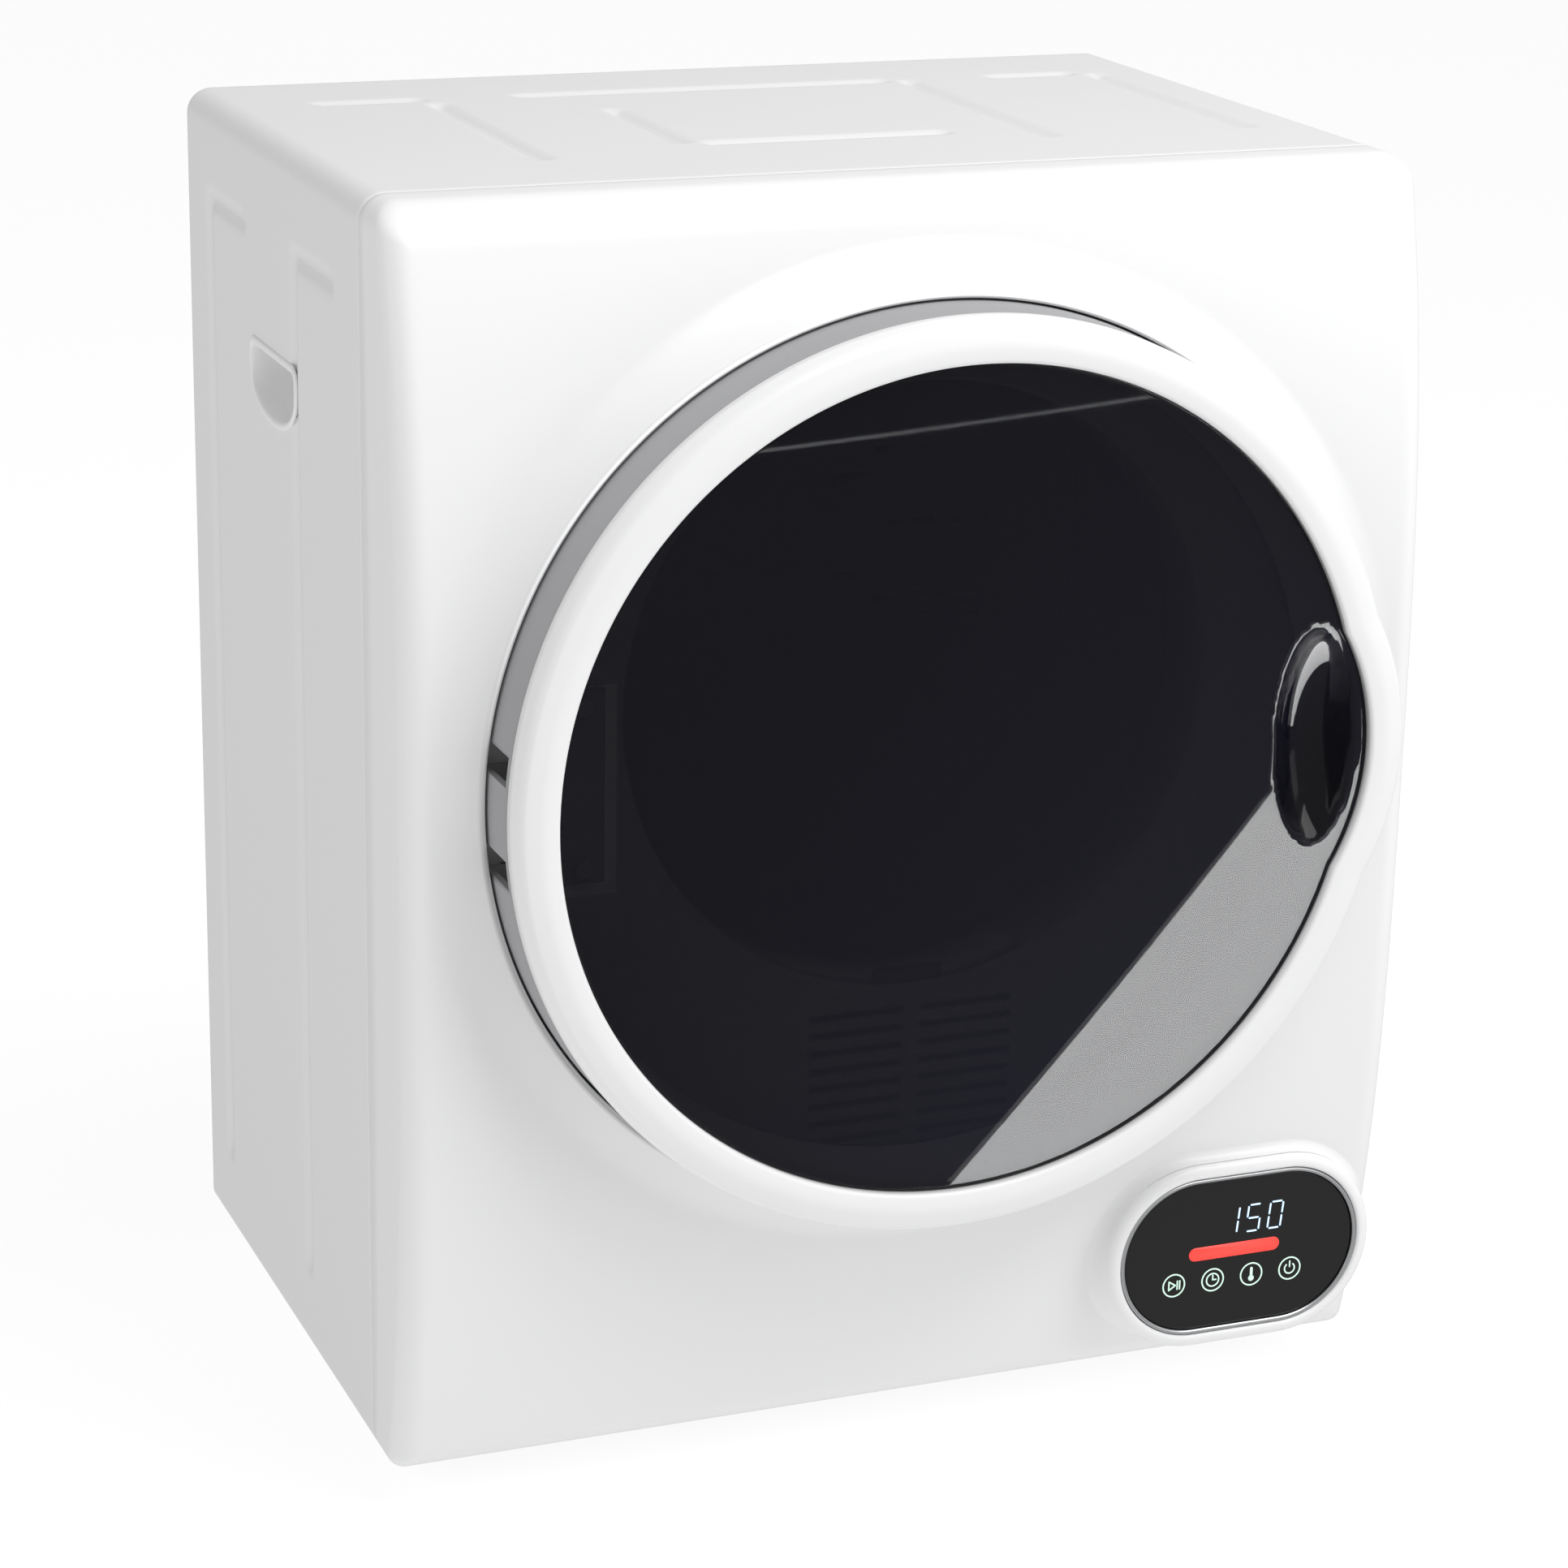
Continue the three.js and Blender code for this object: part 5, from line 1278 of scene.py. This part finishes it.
# ---------------------------------------------------------------------------
# Recess and drum
# ---------------------------------------------------------------------------

RECESS_FRONT = RECESS_HIGH.y


MOUTH_RADIUS = 0.140
FLOOR_BACK = RECESS_FRONT - 0.003


def air_slot_cutters(back, front):
    """Blocks for the two columns of air slots below the drum's mouth."""
    cutters = []
    for row in range(9):
        z = DRUM_Z - MOUTH_RADIUS - 0.012 - row * 0.0086
        for side in (-1, 1):
            left, right = sorted((side * 0.004, side * 0.050))
            cutters.append(slab(left, right, back, front, z - 0.0018, z + 0.0018))
    return cutters


def recess_cutters():
    """Solids for every hole in the recess's floor: mouth, air slots, latch and door switch."""
    back = FLOOR_BACK - 0.002
    front = RECESS_FRONT + 0.002
    latch_low, latch_high = span("latch_receiver")
    plunger_low, plunger_high = span("door_switch_plunger")
    switch = [(plunger_low.x + plunger_high.x) / 2, (plunger_low.z + plunger_high.z) / 2]
    cutters = [prism(circle(0, DRUM_Z, MOUTH_RADIUS + 0.0016, 180), back, front)]
    cutters += air_slot_cutters(back, front)
    cutters.append(slab(
        latch_low.x + 0.003, latch_high.x - 0.003, back, front, latch_low.z + 0.004, latch_high.z - 0.004,
    ))
    cutters.append(prism(circle(*switch, 0.0028, 24), back, front))
    return cutters


def recess():
    """The white floor behind the door, with its holes."""
    floor = turned([
        (0.100, FLOOR_BACK), (HOLE_RADIUS - 0.0004, FLOOR_BACK),
        (HOLE_RADIUS - 0.0004, RECESS_FRONT), (0.100, RECESS_FRONT),
    ], 0, DOOR_Z, 240)
    made = piece("recess_floor", floor, "white_plastic", "cabinet", ("door_surround",))
    joined_cutter = bmesh.new()
    for cutter in recess_cutters():
        bmesh.ops.recalc_face_normals(cutter, faces=cutter.faces)
        absorb(joined_cutter, cutter)
    cut(made, [joined_cutter])
    soften(made, 0.0004)


def drum_mouth():
    """The sleeve of the drum's mouth with its rounded lip, cut away where the filter stands."""
    mouth = MOUTH_RADIUS
    sleeve = SLEEVE_LOW.y
    lip = 0.003
    profile = [(mouth + 0.003, sleeve), (mouth + 0.003, RECESS_FRONT - 0.003)]
    profile += [(mouth + 0.0012, RECESS_FRONT - 0.0031)]
    profile += [
        (mouth + lip * (1 - math.sin(a)) * 0.9, RECESS_FRONT + 0.0002 - lip * (1 - math.cos(a)))
        for a in quarter(6)
    ]
    profile += [(mouth, sleeve)]
    sleeve_ring = turned(profile, 0, DRUM_Z, 240)
    collar = piece("drum_mouth", sleeve_ring, "white_plastic", "cabinet", ("drum_mouth_sleeve",))
    low, high = span("lint_filter_frame")
    gate_foot = DRUM_Z - mouth - 0.008
    cut(collar, [slab(
        low.x - 0.002, high.x + 0.002, low.y - 0.001, RECESS_FRONT - 0.0029, gate_foot, gate_foot + 0.026,
    )])


def drum_skin():
    """The steel drum, with rolled ribs round it."""
    back = DRUM_LOW.y
    lip_front = DRUM_END_HIGH.y
    radius = DRUM_RADIUS
    lip = 0.149
    sheet = 0.0012
    front = lip_front - 0.027
    outer = [(radius, back)]
    ribs = (0.28, 0.72)
    count = 60
    for i in range(1, count):
        share = i / count
        depth = back + (front - 0.006 - back) * share
        rib = sum(math.exp(-((share - place) / 0.012) ** 2) for place in ribs)
        outer.append((radius - 0.0018 * rib, depth))
    outer += [(radius, front - 0.006), (radius - 0.002, front - 0.002), (radius - 0.006, front)]
    outer += [(lip + sheet + 0.003, front), (lip + sheet, front + 0.003), (lip + sheet, lip_front)]
    inner = [(r - sheet, d - sheet * (d > front - 0.001)) for r, d in reversed(outer)]
    inner[0] = (lip, lip_front)
    skin = turned(outer + inner, 0, DRUM_Z, 200)
    piece("drum_skin", skin, "steel", "drum", ("drum_shell", "drum_front_end"))


# ---------------------------------------------------------------------------
# Back and underside
# ---------------------------------------------------------------------------


def screw_head(mesh, x, depth, z, radius, towards):
    """Adds a domed screw head with a cross recess to a mesh; towards is -1 for one that faces back."""
    profile = [(radius * math.sin(a), depth + towards * 0.0016 * math.cos(a)) for a in quarter(6)]
    steps = 28

    def ring(r, d):
        return [mesh.verts.new(at(px, d, pz)) for px, pz in circle(x, z, r, steps)]

    rows = [ring(r, d) for r, d in profile[1:]]
    for near, far in zip(rows, rows[1:]):
        for i in range(steps):
            j = (i + 1) % steps
            mesh.faces.new((near[i], near[j], far[j], far[i]))
    mesh.faces.new(rows[0])
    base = ring(radius, depth - towards * 0.001)
    for i in range(steps):
        j = (i + 1) % steps
        mesh.faces.new((rows[-1][i], rows[-1][j], base[j], base[i]))
    mesh.faces.new(base)


def intake_pad():
    """A dark felt pad behind the back panel's air slots, a sheet put there for shade: it keeps light out of
    the drum and reads dark through the slots.
    """
    low, high = span("heater_housing")
    front = low.y - 0.001
    mesh = slab(low.x + 0.002, high.x - 0.002, front - 0.003, front, low.z + 0.002, high.z - 0.002)
    pad = piece("intake_pad", mesh, "grey_felt", "cabinet")
    soften(pad, 0.0008)


def back_screws():
    """Screws round the edge of the back panel."""
    low, high = span("back_panel")
    mesh = bmesh.new()
    inset = 0.010
    for x in (low.x + inset, high.x - inset):
        for share in (0.04, 0.35, 0.65, 0.96):
            screw_head(mesh, x, low.y, low.z + (high.z - low.z) * share, 0.0038, -1)
    for x in (-0.08, 0.08):
        screw_head(mesh, x, low.y, high.z - inset, 0.0038, -1)
    piece("back_screws", mesh, "steel", "cabinet")


# ---------------------------------------------------------------------------
# Everything carried over from the frame
# ---------------------------------------------------------------------------


# Painted shade: the hinge bracket gets grey in place of its zinc, so the arms seen through the door wall's
# slots blend with the wall's painted shade.
SHADE_MATCHED_FINISHES = {"hinge_bracket": "grey_plastic"}


def dress_frame():
    """Gives every node that still shows its finish and soft edges; the hinge bracket gets a grey of painted
    shade in place of its own finish.
    """
    slots = {row["node"]: row["material_slot"] for row in frame["record"]["subparts"]}
    for name, node in frame["nodes"].items():
        data = node.data
        data.materials.clear()
        data.materials.append(finish(SHADE_MATCHED_FINISHES.get(name, slots[name])))
        if node.hide_render:
            continue
        for attribute in ("custom_normal", "sharp_edge", "sharp_face"):
            if attribute in data.attributes:
                data.attributes.remove(data.attributes[attribute])
        data.polygons.foreach_set("use_smooth", [True] * len(data.polygons))
        weld = node.modifiers.new("Weld", "WELD")
        weld.merge_threshold = 0.00001
        smallest = min(node.dimensions)
        soften(node, min(0.0006, smallest * 0.12))


# ---------------------------------------------------------------------------
# Stage
# ---------------------------------------------------------------------------


def pale_floor():
    """A large pale floor that gives off light and is not seen in reflections."""
    reach = 16.0
    corners = ((-reach, -reach), (reach, -reach), (reach, reach), (-reach, reach))
    mesh = bmesh.new()
    mesh.faces.new([mesh.verts.new(Vector((x, y, 0))) for x, y in corners])
    data = bpy.data.meshes.new("floor")
    mesh.to_mesh(data)
    mesh.free()
    floor = bpy.data.objects.new("floor", data)
    bpy.context.scene.collection.objects.link(floor)
    paper = moulded("floor_paper", (0.14, 0.14, 0.14), 0.99, (0.85, 0.95), 90.0, 0.0002)
    shader = paper.node_tree.nodes["Principled BSDF"]
    shader.inputs["Specular IOR Level"].default_value = 0.0
    shader.inputs["Emission Color"].default_value = (1, 1, 1, 1)
    shader.inputs["Emission Strength"].default_value = 0.90
    data.materials.append(paper)
    floor.visible_glossy = False


def soft_light(name, place, target, size, power):
    """A square soft light that faces a target."""
    data = bpy.data.lights.new(name, "AREA")
    data.size = size
    data.energy = power
    light = bpy.data.objects.new(name, data)
    light.location = place
    light.rotation_euler = (Vector(target) - Vector(place)).to_track_quat("-Z", "Y").to_euler()
    bpy.context.scene.collection.objects.link(light)
    return light


def mirrored_panel(name, place, turn, size, power, mirror):
    """A light that shows only as a reflection in one piece."""
    data = bpy.data.lights.new(name, "AREA")
    data.shape = "RECTANGLE"
    data.size, data.size_y = size
    data.energy = power
    light = bpy.data.objects.new(name, data)
    light.location = place
    light.rotation_euler = [math.radians(angle) for angle in turn]
    bpy.context.scene.collection.objects.link(light)
    seen_in = bpy.data.collections.new(name + "_mirror")
    seen_in.objects.link(mirror)
    light.light_linking.receiver_collection = seen_in


def sky_light(strength):
    """Even pale light from all round."""
    world = bpy.data.worlds.new("studio")
    world.use_nodes = True
    background = world.node_tree.nodes["Background"]
    background.inputs["Color"].default_value = (1, 1, 1, 1)
    background.inputs["Strength"].default_value = strength
    bpy.context.scene.world = world


def main_camera(focal):
    """The camera: yaw, pitch and roll in degrees round a place in front, left and above."""
    yaw, pitch, roll = (math.radians(value) for value in (21.75, 17.92, 1.11))
    forward = Vector((math.sin(yaw) * math.cos(pitch), math.cos(yaw) * math.cos(pitch), -math.sin(pitch)))
    right = Vector((math.cos(yaw), -math.sin(yaw), 0))
    up = right.cross(forward)
    side = right * math.cos(roll) + up * math.sin(roll)
    above = up * math.cos(roll) - right * math.sin(roll)
    data = bpy.data.cameras.new("camera")
    data.lens = focal
    data.sensor_width = 36
    data.clip_end = 100
    camera = bpy.data.objects.new("camera", data)
    camera.matrix_world = Matrix((
        (side.x, above.x, -forward.x, -0.728), (side.y, above.y, -forward.y, -1.8035),
        (side.z, above.z, -forward.z, 0.915), (0, 0, 0, 1),
    ))
    bpy.context.scene.collection.objects.link(camera)
    bpy.context.scene.camera = camera


# ---------------------------------------------------------------------------
# Operators
# ---------------------------------------------------------------------------


class DRYER_OT_cabinet(bpy.types.Operator):
    """Build the painted wrap with its pressed grooves"""

    bl_idname = "dryer.cabinet"
    bl_label = "Cabinet Wrap"

    def execute(self, context):
        sheet_wrap()
        return {"FINISHED"}


class DRYER_OT_handles(bpy.types.Operator):
    """Build the two carry handles"""

    bl_idname = "dryer.handles"
    bl_label = "Carry Handles"

    def execute(self, context):
        handle_cup(-1, "handle_cup_left")
        handle_cup(1, "handle_cup_right")
        return {"FINISHED"}


class DRYER_OT_front(bpy.types.Operator):
    """Build the bulging front and the control pod's rim"""

    bl_idname = "dryer.front"
    bl_label = "Front Moulding"

    def execute(self, context):
        front_moulding()
        control_pod()
        return {"FINISHED"}


class DRYER_OT_controls(bpy.types.Operator):
    """Build the trim ring, the touch glass and its marks"""

    bl_idname = "dryer.controls"
    bl_label = "Control Face"

    def execute(self, context):
        trim_ring()
        touch_glass()
        display_digits()
        status_bar()
        touch_symbols()
        return {"FINISHED"}


class DRYER_OT_door(bpy.types.Operator):
    """Build the door's ring, window and side wall"""

    bl_idname = "dryer.door"
    bl_label = "Door"

    def execute(self, context):
        front_ring()
        smoked_window()
        door_side_wall()
        return {"FINISHED"}


class DRYER_OT_recess(bpy.types.Operator):
    """Build the recess behind the door and the drum"""

    bl_idname = "dryer.recess"
    bl_label = "Recess and Drum"

    def execute(self, context):
        recess()
        drum_mouth()
        drum_skin()
        return {"FINISHED"}


class DRYER_OT_back(bpy.types.Operator):
    """Build the screws of the back panel and the dark pad for shade behind its air slots"""

    bl_idname = "dryer.back"
    bl_label = "Back"

    def execute(self, context):
        back_screws()
        intake_pad()
        return {"FINISHED"}


class DRYER_OT_dress(bpy.types.Operator):
    """Give every carried-over node its finish"""

    bl_idname = "dryer.dress"
    bl_label = "Frame Finishes"

    def execute(self, context):
        dress_frame()
        return {"FINISHED"}


class DRYER_OT_stage(bpy.types.Operator):
    """Set the floor, the lights and the camera"""

    bl_idname = "dryer.stage"
    bl_label = "Stage"

    def execute(self, context):
        stage = settings("stage")
        pale_floor()
        soft_light("key", (2.2, -2.6, 1.2), (0, 0, 0.35), 1.6, stage.key_power)
        soft_light("top", (0.9, -1.1, 2.7), (0, 0, 0.3), 2.0, stage.top_power)
        soft_light("fill", (-2.4, -0.3, 1.0), (0, 0, 0.35), 1.4, stage.fill_power)
        window = bpy.data.objects["smoked_window"]
        mirrored_panel(
            "floor_panel", (0.52, -0.70, 0.004), (180, 0, 134), (1.5, 0.25), stage.panel_glow, window,
        )
        mirrored_panel(
            "far_strip", (1.17, -2.88, 0.01), (90, 0, -10), (0.86, 0.005), stage.strip_glow, window,
        )
        sky_light(stage.sky)
        main_camera(stage.focal)
        context.scene.view_settings.view_transform = "Standard"
        return {"FINISHED"}


class DRYER_PT_panel(bpy.types.Panel):
    """The dryer's pieces, in the order they are built"""

    bl_idname = "DRYER_PT_panel"
    bl_label = "Dryer"
    bl_space_type = "VIEW_3D"
    bl_region_type = "UI"
    bl_category = "Dryer"

    def draw(self, context):
        for operator in OPERATORS:
            self.layout.operator(operator.bl_idname)
        for name in SETTINGS:
            box = self.layout.box()
            group = getattr(context.scene, name)
            for label in group.__annotations__:
                box.prop(group, label)


SETTINGS = {
    "dryer_cabinet": DryerCabinetSettings, "dryer_door": DryerDoorSettings,
    "dryer_control": DryerControlSettings, "dryer_stage": DryerStageSettings,
}
OPERATORS = (
    DRYER_OT_cabinet, DRYER_OT_handles, DRYER_OT_front, DRYER_OT_controls, DRYER_OT_door,
    DRYER_OT_recess, DRYER_OT_back, DRYER_OT_dress, DRYER_OT_stage,
)


def register():
    for group in SETTINGS.values():
        bpy.utils.register_class(group)
    for operator in OPERATORS:
        bpy.utils.register_class(operator)
    bpy.utils.register_class(DRYER_PT_panel)
    for name, group in SETTINGS.items():
        setattr(bpy.types.Scene, name, PointerProperty(type=group))


def unregister():
    for name in SETTINGS:
        delattr(bpy.types.Scene, name)
    bpy.utils.unregister_class(DRYER_PT_panel)
    for operator in reversed(OPERATORS):
        bpy.utils.unregister_class(operator)
    for group in SETTINGS.values():
        bpy.utils.unregister_class(group)


def main():
    register()
    for operator in OPERATORS:
        group, name = operator.bl_idname.split(".")
        getattr(getattr(bpy.ops, group), name)()


if __name__ == "__main__":
    main()
